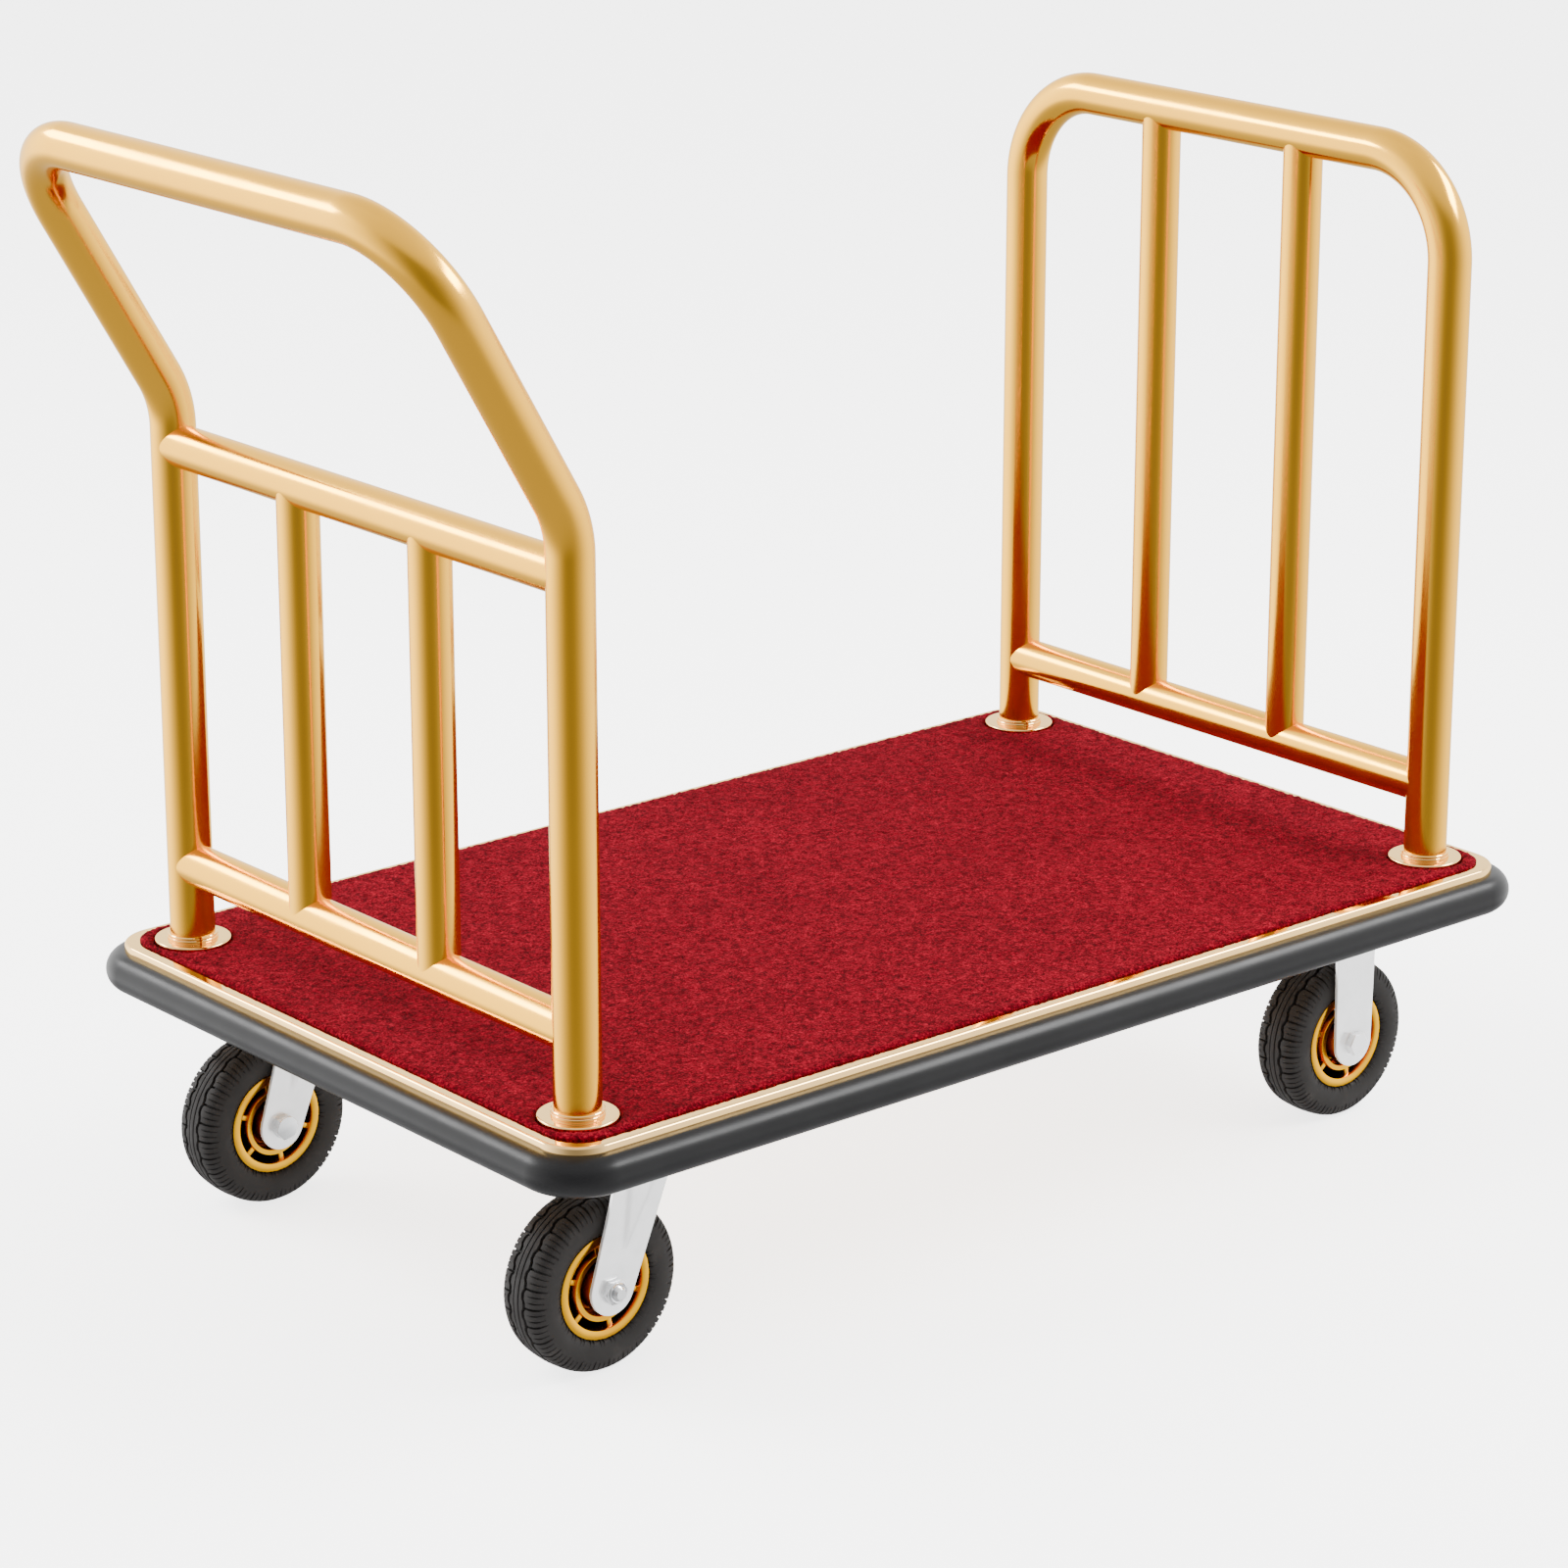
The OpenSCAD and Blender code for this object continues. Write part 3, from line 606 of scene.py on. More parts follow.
def rounded_path(corners, bends):
    """A path's steps, each (straight run, centre of the bend, its axis, its angle), and its last run."""
    corners = [Vector(c) for c in corners]
    steps, here = [], corners[0]
    for before, corner, after, radius in zip(corners, corners[1:], corners[2:], bends):
        ahead, onward = (corner - before).normalized(), (after - corner).normalized()
        angle = ahead.angle(onward)
        cut = radius * math.tan(angle / 2)
        axis = ahead.cross(onward).normalized()
        stop = corner - ahead * cut
        steps.append((stop - here, stop + axis.cross(ahead) * radius, axis, angle))
        here = corner + onward * cut
    return steps, corners[-1] - here


def draw_along(corners, bends):
    """Draws the selected outline along a path, in edit mode."""
    steps, rest = rounded_path(corners, bends)
    for run, centre, axis, angle in steps:
        if run.length > DOUBLES:
            straight(run)
        turn(angle, centre, axis, sizes().bend_steps)
    if rest.length > DOUBLES:
        straight(rest)


def tube(corners, bends, radius):
    """A bent tube with closed ends."""
    corners = [Vector(c) for c in corners]
    piece = ring(corners[0], corners[1] - corners[0], radius)
    draw_along(corners, bends)
    tidy_mesh()
    smooth()
    return piece


def coped_tube(start, stop, radius, seat_radius):
    """A straight tube whose ends are cut to sit on the round tubes that it meets."""
    start, stop = Vector(start), Vector(stop)
    along = (stop - start).normalized()
    piece = ring(start, along, radius)
    straight(stop - start)
    tidy_mesh(close=False)
    for vertex in piece.data.vertices:
        side = vertex.co.x - start.x
        set_back = math.sqrt(seat_radius ** 2 - min(abs(side), seat_radius) ** 2)
        near_start = (vertex.co - start).dot(along) < (stop - start).length / 2
        vertex.co += along * (set_back if near_start else -set_back)
    enter_edit()
    tidy_mesh()
    smooth()
    return piece


def open_outline(points):
    """An open chain through the points, in edit mode with all of it selected."""
    piece = outline(points)
    pick("edges", lambda e: abs(e.verts[0].index - e.verts[1].index) == len(points) - 1)
    bpy.ops.mesh.delete(type="EDGE")
    bpy.ops.mesh.select_mode(type="VERT")
    bpy.ops.mesh.select_all(action="SELECT")
    return piece


def round_deck(low, high, corner, profile, closed=True):
    """Draws a profile round the deck: profile is (place outside the deck's edge, height)."""
    centre_x, centre_y = (low.x + high.x) / 2, (low.y + high.y) / 2
    start = [Vector((centre_x, low.y - out, z)) for out, z in profile]
    piece = outline(start) if closed else open_outline(start)
    loop = [(centre_x, low.y, 0), (high.x, low.y, 0), (high.x, high.y, 0),
            (low.x, high.y, 0), (low.x, low.y, 0), (centre_x, low.y, 0)]
    draw_along(loop, [corner] * 4)
    tidy_mesh()
    return piece


def refined(node, width):
    """A copy of a CAD node with its doubles merged, its flats joined and its edges rounded."""
    clear()
    bpy.ops.mesh.primitive_plane_add()
    piece = bpy.context.object
    piece.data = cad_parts[node].data.copy()
    enter_edit()
    bpy.ops.mesh.remove_doubles(threshold=DOUBLES)
    bpy.ops.mesh.dissolve_limited(angle_limit=math.radians(1.0))
    face_outward()
    bevel(width, angle=SHARP)
    smooth(SHARP)
    return piece


def hexagon(centre, axis, height, chamfer, spin):
    """A hexagon head or nut with its corners turned off."""
    clear()
    reach, half = ACROSS_FLATS / math.sqrt(3), height / 2
    bpy.ops.mesh.primitive_cylinder_add(
        vertices=6, radius=reach, depth=height, location=centre, rotation=facing(axis))
    body = bake_place()
    body.data.transform(about(centre, Matrix.Rotation(spin, 4, axis)))
    clear_of = reach + MM / 5
    cone = turned(centre, axis, [
        (0, -half - MM), (reach - chamfer, -half - DOUBLES), (clear_of, -half + chamfer),
        (clear_of, half - chamfer * 0.7), (reach - chamfer, half + DOUBLES), (0, half + MM)], 48)
    activate(body)
    modify(body, "BOOLEAN", operation="INTERSECT", solver="EXACT", object=cone)
    bpy.data.objects.remove(cone)
    enter_edit()
    bpy.ops.mesh.remove_doubles(threshold=DOUBLES / 2)
    face_outward()
    bevel(0.25 * MM, angle=25)
    return body


# ---------- Operators, one for each piece or group of like pieces ----------

class PushHandle(bpy.types.Operator):
    """Bends the push handle: two posts that kink and lean out to the grip bar"""

    bl_idname = "cart.push_handle"
    bl_label = "Push handle"

    def execute(self, context):
        low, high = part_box("handle_posts")
        grip_low, grip_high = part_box("handle_grip")
        radius = middle("handle_cross_rail").x - low.x
        post_x, post_y = low.x + radius, high.y - radius
        grip_x, grip_z = grip_low.x + radius, grip_high.z - radius
        foot = highest("deck_tray").z
        kink = foot + KINK_ABOVE_DECK
        leg = [(post_x, foot), (post_x, kink), (grip_x, grip_z)]
        path = [(x, -post_y, z) for x, z in leg] + [(x, post_y, z) for x, z in reversed(leg)]
        bends = [sizes().kink_radius, sizes().grip_radius]
        piece = tube(path, bends + bends[::-1], radius)
        settle(piece, "push_handle", "gold_tube", "deck", "handle_posts", "handle_grip")
        return done()


class Hoop(bpy.types.Operator):
    """Bends the tall hoop at the other end"""

    bl_idname = "cart.hoop"
    bl_label = "Hoop"

    def execute(self, context):
        low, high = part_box("hoop_tube")
        radius = (high.x - low.x) / 2
        x, y, top = low.x + radius, high.y - radius, high.z - radius
        foot = highest("deck_tray").z
        path = [(x, -y, foot), (x, -y, top), (x, y, top), (x, y, foot)]
        piece = tube(path, [sizes().hoop_radius] * 2, radius)
        settle(piece, "hoop", "gold_tube", "deck", "hoop_tube")
        return done()


class Rails(bpy.types.Operator):
    """Fits the cross rails between the posts and the upright bars between the rails"""

    bl_idname = "cart.rails"
    bl_label = "Rails and bars"

    def execute(self, context):
        post_radius = extent("hoop_tube").x / 2
        post_y = highest("hoop_tube").y - post_radius
        for node in ("handle_cross_rail", "handle_low_rail", "hoop_low_rail"):
            at = middle(node)
            rail = coped_tube(
                (at.x, -post_y, at.z), (at.x, post_y, at.z), extent(node).z / 2, post_radius)
            settle(rail, node + "_tube", "gold_tube", "deck", node)
        rail_radius = extent("hoop_low_rail").z / 2
        hoop_top = highest("hoop_tube").z - post_radius
        for node, low_rail, top, top_radius in (
                ("handle_bars", "handle_low_rail", middle("handle_cross_rail").z, rail_radius),
                ("hoop_bars", "hoop_low_rail", hoop_top, post_radius)):
            at = middle(node)
            bar_radius = extent(node).x / 2
            bar_y = highest(node).y - bar_radius
            low = middle(low_rail).z
            bars = []
            for side in SIDES.values():
                bar = coped_tube((at.x, side * bar_y, low), (at.x, side * bar_y, top),
                                 bar_radius, rail_radius)
                for vertex in bar.data.vertices:
                    if top_radius != rail_radius and vertex.co.z > (low + top) / 2:
                        across = vertex.co.x - at.x
                        vertex.co.z = top - math.sqrt(top_radius ** 2 - across ** 2)
                bars.append(bar)
            settle(join(bars), node + "_tube", "gold_tube", "deck", node)
        return done()


class PostFeet(bpy.types.Operator):
    """Turns the flange discs and the stepped collars at the feet of the four posts"""

    bl_idname = "cart.post_feet"
    bl_label = "Post feet"

    def execute(self, context):
        spots = post_places()
        inner = extent("hoop_tube").x / 2 - 0.5 * MM
        rounding = 1.6 * MM
        low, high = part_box("post_flanges")
        disc = high.y - spots[0].y
        flange = [(inner, low.z), *in_mm(((-0.5, 0), (0, 0.5)), disc, low.z)]
        flange += [(disc - rounding * (1 - math.cos(a)), high.z - rounding * (1 - math.sin(a)))
                   for a in sweep(QUARTER, 8)]
        flange.append((inner, high.z))
        low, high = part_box("post_collars")
        reach = high.y - spots[0].y
        steps = ((-0.3, 0), (0, 0.4), (0, 1.9), (-0.3, 2.3), (-1.1, 2.5), (-1.1, 2.9), (-0.5, 3.1))
        collar = [(inner, low.z), *in_mm(steps, reach, low.z),
                  *in_mm(((-0.4, -0.6), (-0.9, -0.1)), reach, high.z), (inner, high.z)]

        def foot_part(spot, profile):
            piece = turned(spot, Z, profile, 96)
            smooth(SHARP)
            return piece

        for name, profile in (("flange", flange), ("collar", collar)):
            pieces = repeated(lambda spot: foot_part(spot, profile), spots)
            for index, piece in enumerate(pieces):
                settle(piece, "%s_%d" % (name, index + 1), "gold_sheet", "deck", "post_%ss" % name)
        return done()


class Tray(bpy.types.Operator):
    """Presses the polished deck tray with its rounded edge and folded skirt"""

    bl_idname = "cart.tray"
    bl_label = "Deck tray"

    def execute(self, context):
        low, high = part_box("deck_tray")
        edge, corner = sizes().tray_edge, sizes().tray_corner
        reach = corner - 2 * MM
        outside, inside = (
            [(-edge + radius * math.sin(a), high.z - edge + radius * math.cos(a))
             for a in sweep(QUARTER, 8)] for radius in (edge, edge - TRAY_SHEET))
        profile = [(-reach, high.z), *outside, (0, low.z), (-TRAY_SHEET, low.z),
                   *reversed(inside), (-reach, high.z - TRAY_SHEET)]
        piece = round_deck(low, high, corner, profile, closed=False)
        smooth(SHARP)
        settle(piece, "tray", "gold_sheet", "deck", "deck_tray")
        return done()


# Waves in the carpet's pile: how many to a metre, and how high in millimetres
CURLS = ((210, 0.9), (430, 0.7), (60, 0.3))


class Carpet(bpy.types.Operator):
    """Lays the carpet: a curled pile with rolled edges, cut round the post feet"""

    bl_idname = "cart.carpet"
    bl_label = "Carpet"

    def execute(self, context):
        low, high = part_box("carpet")
        step = sizes().pile_step
        size, centre = high - low, (low + high) / 2
        half = size / 2
        corner, hole, roll_width, pile = 31.5 * MM, 33.2 * MM, 4 * MM, 1.6 * MM
        piece = grid(round(size.x / step), round(size.y / step))
        for vertex in piece.data.vertices:
            x, y = vertex.co.x * size.x, vertex.co.y * size.y
            u = max(0, abs(x) - (half.x - corner)) / corner
            v = max(0, abs(y) - (half.y - corner)) / corner
            if u and v:
                pull = max(u, v) / math.hypot(u, v)
                x = math.copysign(half.x - corner + u * pull * corner, x)
                y = math.copysign(half.y - corner + v * pull * corner, y)
            vertex.co = (centre.x + x, centre.y + y, high.z)
        feet = [spot.xy for spot in post_places()]
        enter_edit()
        pick("faces", lambda f: any((f.calc_center_median().xy - foot).length < hole for foot in feet))
        bpy.ops.mesh.delete(type="FACE")
        pick("edges", lambda e: len(e.link_faces) == 1)
        leave_edit()
        edge = {vertex.index for vertex in piece.data.vertices if vertex.select}
        for vertex in piece.data.vertices:
            for foot in feet:
                away = vertex.co.xy - foot
                if vertex.index in edge and away.length < hole + 2 * step:
                    vertex.co.xy = foot + away.normalized() * hole
        for vertex in piece.data.vertices:
            x, y = vertex.co.x - centre.x, vertex.co.y - centre.y
            inward = min(half.x - abs(x), half.y - abs(y))
            u, v = abs(x) - (half.x - corner), abs(y) - (half.y - corner)
            if u > 0 and v > 0:
                inward = corner - math.hypot(u, v)
            for foot in feet:
                inward = min(inward, (vertex.co.xy - foot).length - hole)
            roll = math.sqrt(max(0, 1 - max(0, 1 - inward / roll_width) ** 2))
            curls = sum(noise.noise(vertex.co * scale) * share for scale, share in CURLS)
            vertex.co.z = high.z - pile + curls * MM * (0.4 + 0.6 * roll) + pile * roll
            if vertex.index in edge:
                vertex.co.z -= 0.4 * MM
        enter_edit()
        pick("edges", lambda e: len(e.link_faces) == 1)
        straight(Vector((0, 0, low.z - high.z + pile)))
        bpy.ops.mesh.select_mode(type="VERT")
        leave_edit()
        for vertex in piece.data.vertices:
            if vertex.select:
                vertex.co.z = low.z
        enter_edit()
        tidy_mesh()
        smooth(180)
        settle(piece, "carpet_pile", "carpet", "deck", "carpet")
        return done()


class Bumper(bpy.types.Operator):
    """Moulds the half-round rubber bumper round the deck"""

    bl_idname = "cart.bumper"
    bl_label = "Bumper"

    def execute(self, context):
        low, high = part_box("deck_tray")
        radius, at = extent("bumper").z / 2, middle("bumper").z
        profile = [(radius * math.sin(a), at - radius * math.cos(a)) for a in sweep(math.pi, 28)]
        piece = round_deck(low, high, sizes().tray_corner, profile)
        smooth(60)
        settle(piece, "bumper_rubber", "rubber", "deck", "bumper")
        return done()


class Underframe(bpy.types.Operator):
    """Finishes the board, the rails, the casters' plates and the hidden fasteners"""

    bl_idname = "cart.underframe"
    bl_label = "Underframe"

    def execute(self, context):
        for node, width, look in (
                ("frame_long_rails", 0.8, "frame_steel"), ("frame_cross_rails", 0.8, "frame_steel"),
                ("swivel_plates", 0.6, "zinc"), ("rigid_plates", 0.6, "zinc"),
                ("swivel_races", 0.5, "zinc"), ("plate_bolts", 0.25, "zinc"),
                ("plate_nuts", 0.25, "zinc"), ("kingpin_nuts", 0.3, "zinc")):
            settle(refined(node, width * MM), node + "_look", look, "deck", node)
        paint(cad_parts["deck_board"], "plywood")
        for node in ("board_screws", "post_plugs", "post_washers", "post_bolts", "kingpins",
                     "kingpin_washers", "plate_washers", "rigid_axle_sleeves",
                     *("axle_sleeve_" + side for side in SIDES),
                     *("dust_ring_" + side for side in SIDES)):
            paint(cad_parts[node], "zinc")
        for side in SIDES:
            paint(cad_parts["swivel_balls_" + side], "bearing_steel")
        return done()


def fork_shape(pivot, axle, crown, half_top, half_end, gap, crease):
    """One fork: a grid over the crown and down both legs, creased, then given its steel."""
    bend = 9 * MM
    side = gap + FORK_STEEL / 2
    top = crown - FORK_STEEL / 2
    knee = top - bend
    centre = Vector((axle - pivot.x, pivot.z))

    def touch(way):
        """The leg's straight edge: from the crown's corner to where it meets the rounded end."""
        corner = Vector((way * half_top, top))
        apart = centre - corner
        along = apart.normalized()
        turned_by = way * math.asin(half_end / apart.length)
        ray = Vector((along.x * math.cos(turned_by) - along.y * math.sin(turned_by),
                      along.x * math.sin(turned_by) + along.y * math.cos(turned_by)))
        return corner, corner + ray * math.sqrt(apart.length ** 2 - half_end ** 2)

    def edge_at(way, z):
        corner, point = touch(way)
        if z >= point.y:
            share = (corner.y - z) / (corner.y - point.y)
            return corner.x + (point.x - corner.x) * share
        drop = min(1, abs(z - centre.y) / half_end)
        return centre.x + way * half_end * math.sqrt(1 - drop * drop)

    rows = [(0.0, top), (side * 0.35, top), (side - bend - 2 * MM, top)]
    rows += [(side - bend + bend * math.sin(a), knee + bend * math.cos(a)) for a in sweep(QUARTER, 10)]
    rows += [(side, knee + drop) for drop in sweep(pivot.z - knee, 30)[1:]]
    rows += [(side, pivot.z - half_end * math.sin(a)) for a in sweep(QUARTER, 12)[1:]]
    rows[-1] = (side, pivot.z - half_end * 0.997)
    lines = [(-y, z) for y, z in rows[:0:-1]] + rows
    columns = 24
    crease_top, crease_width, crease_slope = knee + 2 * MM, 0.62, 0.16
    piece = grid(columns, len(lines) - 1)
    for vertex in piece.data.vertices:
        line, column = divmod(vertex.index, columns + 1)
        y, z = lines[line]
        left, right = edge_at(-1, z), edge_at(1, z)
        share = column / columns
        out = 0.0
        depth = (crease_top - z) / (knee - pivot.z - half_end * 0.9)
        width = crease_width * (1 - depth)
        if z < crease_top and width > 0.05:
            soft = min(1, max(0, (width - abs(share - 0.5) * 2) / crease_slope))
            out = crease * soft * soft * (3 - 2 * soft) * min(1, (1 - depth) * 3)
        vertex.co = (pivot.x + left + (right - left) * share,
                     pivot.y + math.copysign(abs(y) + out, y) if y else pivot.y, z)
    modify(piece, "SOLIDIFY", thickness=FORK_STEEL, offset=0)
    enter_edit()
    tidy_mesh(close=False)
    bevel(0.45 * MM, angle=50)
    smooth()
    return piece


class Forks(bpy.types.Operator):
    """Presses the four caster forks, with crowns on the two that swivel"""

    bl_idname = "cart.forks"
    bl_label = "Forks"

    def execute(self, context):
        for side in SIDES:
            node = "swivel_fork_" + side
            low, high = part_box(node)
            wheel, pin = middle("rim_rear_" + side), middle("dust_ring_" + side)
            gap = min((high.y - low.y) / 2, 30 * MM) - FORK_STEEL
            at = Vector((pin.x, pin.y, wheel.z))
            fork = fork_shape(at, wheel.x, high.z, half_top=28 * MM, half_end=21 * MM, gap=gap,
                              crease=1.6 * MM)
            top = high.z - pin.z
            crown = turned(pin, Z, [
                (PIN_RADIUS, top),
                *in_mm(((-5, 0), (-1.2, -0.7), (0, -2.2), (-0.6, -3)), high.x - pin.x, top),
                (PIN_RADIUS, top - FORK_STEEL)], 96)
            smooth(SHARP)
            settle(join([fork, crown]), node + "_steel", "zinc", "swivel_" + side, node)
            node = "rigid_fork_" + side
            low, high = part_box(node)
            at = Vector((middle(node).x, middle(node).y, wheel.z))
            gap = (high.y - low.y) / 2 - FORK_STEEL
            fork = fork_shape(at, at.x, high.z, half_top=24 * MM, half_end=22 * MM, gap=gap,
                              crease=0)
            settle(fork, node + "_steel", "zinc", "deck", node)
        return done()


class Axles(bpy.types.Operator):
    """Fits the wheel bolts: heads and locking nuts with rounded corners"""

    bl_idname = "cart.axles"
    bl_label = "Axles"

    def bolt(self, node, way, body):
        """A threaded bolt whose head is where the Y axis, times way, points."""
        low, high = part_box(node)
        at = middle(node)
        end, tip = (high.y, low.y) if way > 0 else (low.y, high.y)
        head, thread, pitch = 7.5 * MM, 14 * MM, 1.25 * MM
        cap = hexagon(Vector((at.x, end - way * head / 2, at.z)), Y, head, chamfer=1.2 * MM, spin=0.3)
        start = end - way * head
        length = abs(start - tip)
        place = length - thread
        ridges = [(0, -MM), (PIN_RADIUS, 0), (PIN_RADIUS, place)]
        while place < length - 2 * MM:
            ridges += in_mm(((0, 0.45), (-0.5, 0.9)), PIN_RADIUS, place)
            place += pitch
        ridges += [*in_mm(((-0.6, -1), (-1.6, 0)), PIN_RADIUS, length), (0, length)]
        shank = turned(Vector((at.x, start, at.z)), Y * -way, ridges, 40)
        piece = join([cap, shank])
        smooth(SHARP)
        settle(piece, node + "_steel", "hardware", body, node)

    def nut(self, node, way, body):
        """A locking nut whose collar is where the Y axis, times way, points."""
        low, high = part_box(node)
        at = middle(node)
        inner = low.y if way > 0 else high.y
        tall = high.y - low.y
        flats = tall - 2.2 * MM
        hexa = hexagon(Vector((at.x, inner + way * flats / 2, at.z)), Y, flats, chamfer=1.1 * MM,
                       spin=0.5)
        collar = turned(Vector((at.x, inner, at.z)), Y * way, in_mm(
            ((6, -3), (8.5, -3), (8.5, -0.9), (7.9, 0), (6.6, -0.2), (6, -0.9)), up=tall), 48)
        piece = join([hexa, collar])
        smooth(SHARP)
        settle(piece, node + "_steel", "hardware", body, node)

    def execute(self, context):
        for side in SIDES:
            nut = "axle_nut_" + side
            way = 1 if middle(nut).y > middle("swivel_fork_" + side).y else -1
            self.bolt("axle_bolt_" + side, -way, "swivel_" + side)
            self.nut(nut, way, "swivel_" + side)
        for node in ("rigid_axle_bolts", "rigid_axle_nuts"):
            settle(refined(node, 0.3 * MM), node + "_steel", "zinc", "deck", node)
        return done()


# Halves of the wheel core's profiles, in millimetres: distance from the axle, place along it
RIM = ((35.2, 4), (35.9, 11.5), (36.3, 16.5), (36.4, 19.6), (36.8, 20.6), (37.6, 21), (43.0, 21),
       (44.0, 20.6), (44.5, 19.6))
HUB = ((15.0, 25.5), (18.8, 25.5), (19.6, 24.6), (20.4, 4), (22.5, 5), (24.2, 19.1), (24.8, 20),
       (28.9, 20), (29.5, 19.1), (30.0, 4), (36.0, 3.2))
CORE_HALF_WIDTH = 21
# Painted shade: CUP_SHADE darkens the deep hub cup, and the windows between WINDOW_FROM and WINDOW_TO
# darken with depth
CUP_REACH, CUP_SHADE = 24.3, 0.55
WINDOW_FROM, WINDOW_TO = 29.2, 36.6
SPOKES, FIRST_SPOKE = 6, 0.35


def wheel_core(at):
    """A wheel's cast core: lipped rim, spokes in a deep recess, an inner ring and a hub cup."""
    half = CORE_HALF_WIDTH
    parts = [turned(at, Y, both_ways(in_mm(profile)), 96) for profile in (RIM, HUB)]
    for index in range(SPOKES):
        spoke = box(at + Vector((28, 3 - half, -2.4)) * MM, at + Vector((38, half - 3, 2.4)) * MM)
        bevel(0.9 * MM, 3)
        spoke.data.transform(about(at, Matrix.Rotation(index * TAU / SPOKES + FIRST_SPOKE, 4, "Y")))
        parts.append(spoke)
    piece = join(parts)
    smooth(35)
    # The recess attribute masks painted shade: it rises with depth in the spoke windows, and the deep
    # hub cup gets CUP_SHADE of it.
    recess = piece.data.attributes.new("recess", "FLOAT", "POINT")
    for vertex in piece.data.vertices:
        x, y, z = (vertex.co - at) / MM
        away, depth = math.hypot(x, z), half - abs(y)
        share = CUP_SHADE if away < CUP_REACH and depth > 8 else 0
        if WINDOW_FROM < away < WINDOW_TO:
            share = min(1, max(0, (depth - 4.5) / 5))
        recess.data[vertex.index].value = share
    return piece


TREAD = [  # across the tyre from its middle: place, radius, groove depth, zig-zag share, block share
    (0.0, 73.0, 0, 0, 0), (1.9, 73.0, 0, 0, 0), (2.1, 72.95, 0, 0, 0), (2.4, 72.9, 1.8, 0, 0),
    (3.2, 72.9, 1.8, 0, 0), (3.5, 72.9, 0, 0, 0), (7.2, 72.7, 0, 1, 0), (7.5, 72.7, 4.2, 1, 0),
    (10.0, 72.6, 4.2, 1, 0), (10.3, 72.4, 0, 1, 1), (11.2, 72.4, 0, 0.8, 1), (13.0, 72.2, 0, 0.2, 1),
    (15.0, 71.9, 0, 0, 1), (17.2, 71.3, 0, 0, 1), (19.2, 70.2, 0, 0, 1), (20.9, 68.6, 0, 0, 1),
    (22.1, 66.4, 0, 0, 1), (22.8, 64.2, 0, 0, 0.9), (23.2, 62.4, 0, 0, 0.45), (23.6, 60.6, 0, 0, 0),
    (24.0, 57.0, 0, 0, 0), (23.9, 53.0, 0, 0, 0), (23.2, 49.6, 0, 0, 0), (22.2, 47.2, 0, 0, 0),
    (21.2, 45.9, 0, 0, 0), (20.2, 45.1, 0, 0, 0), (19.0, 44.9, 0, 0, 0)]
PITCH = [  # along one pitch of the tread: place, groove share, slit share
    (0.0, 0, 0), (0.02, 1, 0), (0.10, 1, 0), (0.12, 0, 0), (0.23, 0, 0), (0.35, 0, 0), (0.37, 0, 1),
    (0.41, 0, 1), (0.43, 0, 0), (0.56, 0, 0), (0.60, 0, 0), (0.68, 0, 0), (0.70, 0, 1),
    (0.74, 0, 1), (0.76, 0, 0), (0.90, 0, 0)]
ZIGZAG_REACH, BLOCK_GROOVE, SLIT_DEPTH = 0.9, 2.8, 1.6
SLIT_FROM, SLIT_TO, SLIT_SLOPE = 14, 23, 0.4
SHOULDER = 6


def wheel_tyre(at):
    """A tyre: a grid wrapped round the rim, with grooves, zig-zags and shoulder blocks."""
    pitches = sizes().tread_blocks
    across = [(*row, -1) for row in TREAD[:0:-1]] + [(*row, 1) for row in TREAD]
    across.append(across[0])
    piece = grid(len(across) - 1, pitches * len(PITCH))
    for vertex in piece.data.vertices:
        row, column = divmod(vertex.index, len(across))
        y, radius, groove, zigzag, block, side = across[column]
        pitch, part = divmod(row, len(PITCH))
        place, cut, slit = PITCH[part]
        wave = (1 - abs(((place + (0.05 if side > 0 else 0.55)) % 1) * 2 - 1) * 2) * 3
        y += zigzag * min(1, max(-1, wave)) * ZIGZAG_REACH
        depth = max(groove, block * BLOCK_GROOVE * cut)
        if slit and SLIT_FROM < y < SLIT_TO:
            depth = max(depth, min(SLIT_DEPTH, (y - SLIT_FROM + 0.5) * SLIT_SLOPE))
        stagger = 0.5 if side > 0 and y > SHOULDER else 0
        angle = TAU * (pitch + place + stagger) / pitches
        r = (radius - depth) * MM
        vertex.co = at + Vector((r * math.cos(angle), side * y * MM, r * math.sin(angle)))
    enter_edit()
    tidy_mesh()
    smooth(32)
    return piece


class Wheels(bpy.types.Operator):
    """Casts the four wheel cores, and fits their bearings"""

    bl_idname = "cart.wheels"
    bl_label = "Wheel cores"

    def execute(self, context):
        on_each_wheel(wheel_core, "rim_", "core_", "yellow_core")
        for wheel in WHEELS:
            paint(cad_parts["bearing_" + wheel], "bearing_steel")
        return done()


class Tyres(bpy.types.Operator):
    """Moulds the four treaded tyres"""

    bl_idname = "cart.tyres"
    bl_label = "Tyres"

    def execute(self, context):
        on_each_wheel(wheel_tyre, "tyre_", "tread_", "tyre")
        return done()


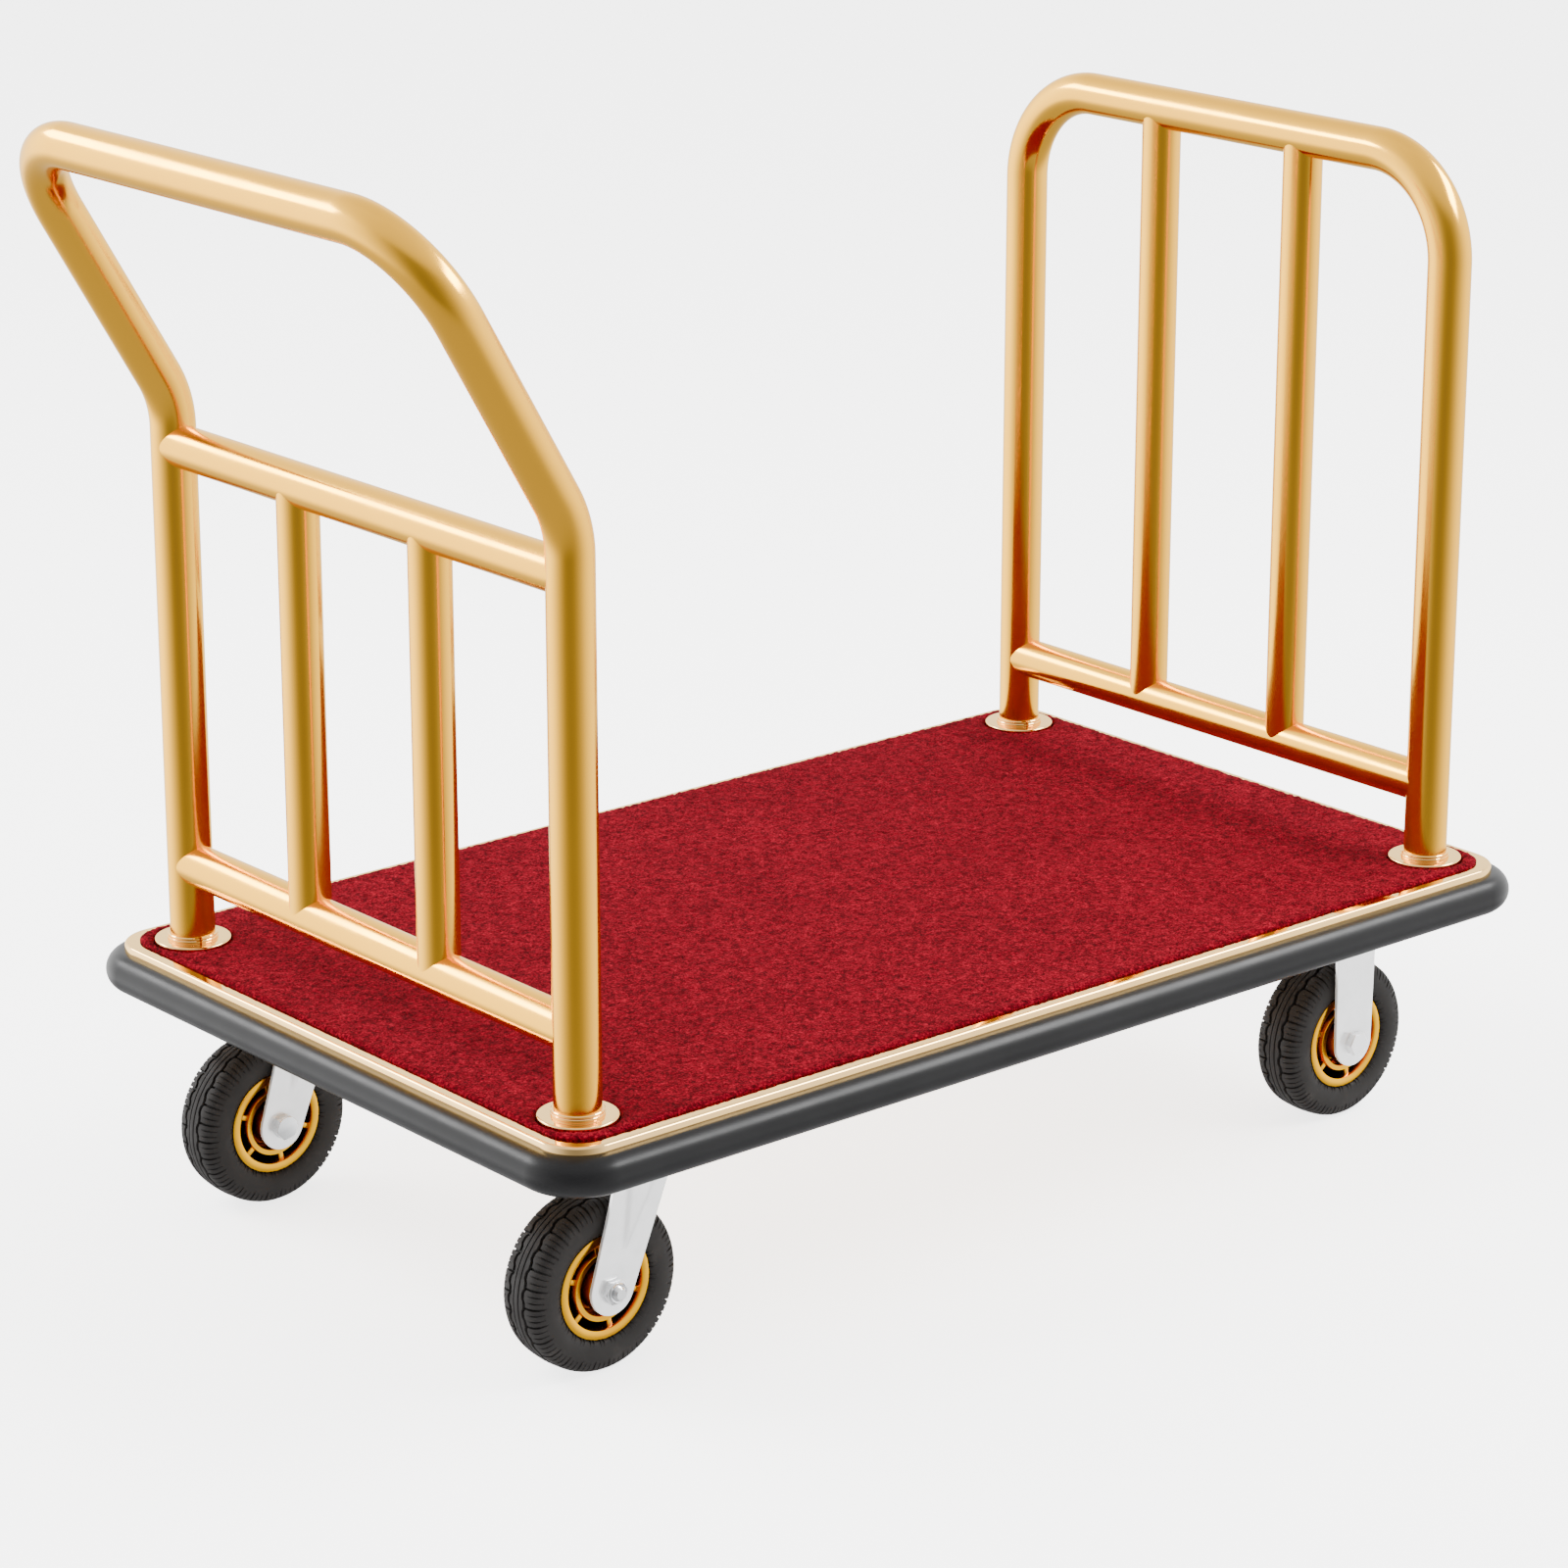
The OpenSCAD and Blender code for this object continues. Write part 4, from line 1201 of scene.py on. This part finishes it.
class Studio(bpy.types.Operator):
    """Sets the pale floor, the soft lights and the camera"""

    bl_idname = "cart.studio"
    bl_label = "Studio"

    def stand(self, name, data, place, look):
        """Puts a lamp or a camera in its place, looking along a direction."""
        item = bpy.data.objects.new(name, data)
        item.location = place
        item.rotation_euler = look.to_track_quat("-Z", "Y").to_euler()
        bpy.context.scene.collection.objects.link(item)
        return item

    def floor(self):
        clear()
        bpy.ops.mesh.primitive_plane_add(size=FLOOR_SIZE)
        floor = bpy.context.object
        floor.name = "studio_floor"
        floor.visible_glossy = False
        white = (1, 1, 1, 1)
        pale = Recipe("studio_white", (0.9, 0.9, 0.9), 0.0, 0.8, {
            "Specular IOR Level": 0.0, "Emission Color": white, "Emission Strength": FLOOR_GLOW})
        floor.data.materials.append(pale.material)

    def air(self):
        """The studio all round: bright walls, dimmer behind the camera, above and below."""
        world = bpy.data.worlds.new("studio_air")
        bpy.context.scene.world = world
        world.use_nodes = True
        nodes = Nodes(world.node_tree)

        def greys(source, stops):
            return nodes.ramp(source, [(at, (grey,) * 3) for at, grey in stops], "B_SPLINE")

        direction = nodes.add("TexCoord", "Generated")
        facing_camera = nodes.add("Mapping", "Vector", {
            "Rotation": (0, 0, math.radians(90 - CAMERA_AZIMUTH)), "Vector": direction})
        light = greys(
            nodes.add("TexGradient", "Fac", {"Vector": facing_camera}, gradient_type="RADIAL"), WALLS)
        up = nodes.add("SeparateXYZ", "Z", {"Vector": direction})
        height = nodes.add("MapRange", "Result", {"From Min": -1, "Value": up})
        for grey, stops in ((OVERHEAD, CEILING), (UNDERFOOT, CELLAR)):
            light = nodes.add("MixRGB", "Color", {
                "Fac": greys(height, stops), "Color1": light, "Color2": (grey, grey, grey, 1)})
        nodes.feed(nodes.tree.nodes["Background"], {"Strength": STUDIO_LIGHT, "Color": light})

    def execute(self, context):
        self.floor()
        for name, place, aim, size, power, mirrored in LAMPS:
            data = bpy.data.lights.new(name, "AREA")
            data.shape = "RECTANGLE"
            data.size, data.size_y = size
            data.energy = power
            lamp = self.stand(name, data, place, Vector(aim) - Vector(place))
            lamp.visible_glossy = mirrored
        self.air()
        azimuth, dip = math.radians(CAMERA_AZIMUTH), math.radians(CAMERA_DIP)
        look = Vector((-math.sin(azimuth) * math.cos(dip), math.cos(azimuth) * math.cos(dip),
                       -math.sin(dip)))
        camera = self.stand("camera", bpy.data.cameras.new("camera"), CAMERA_PLACE, look)
        camera.data.lens = CAMERA_LENS
        camera.data.sensor_width = SENSOR_WIDTH
        bpy.context.scene.camera = camera
        return done()


OPERATORS = (PushHandle, Hoop, Rails, PostFeet, Tray, Carpet, Bumper, Underframe, Forks, Axles,
             Wheels, Tyres, Studio)


class CartPanel(bpy.types.Panel):
    """Sizes, colours and pieces of the cart"""

    bl_idname = "VIEW3D_PT_cart"
    bl_label = "Luggage cart"
    bl_space_type = "VIEW_3D"
    bl_region_type = "UI"
    bl_category = "Cart"

    def draw(self, context):
        for settings in (context.scene.cart_sizes, context.scene.cart_colours):
            column = self.layout.column()
            for name in settings.__annotations__:
                column.prop(settings, name)
        column = self.layout.column()
        for operator in OPERATORS:
            column.operator(operator.bl_idname)


def register():
    for item in (CartSizes, CartColours, *OPERATORS, CartPanel):
        bpy.utils.register_class(item)
    bpy.types.Scene.cart_sizes = bpy.props.PointerProperty(type=CartSizes)
    bpy.types.Scene.cart_colours = bpy.props.PointerProperty(type=CartColours)


def unregister():
    del bpy.types.Scene.cart_sizes
    del bpy.types.Scene.cart_colours
    for item in reversed((CartSizes, CartColours, *OPERATORS, CartPanel)):
        bpy.utils.unregister_class(item)


def main():
    register()
    for operator in OPERATORS:
        family, name = operator.bl_idname.split(".")
        getattr(getattr(bpy.ops, family), name)()


if __name__ == "__main__":
    main()
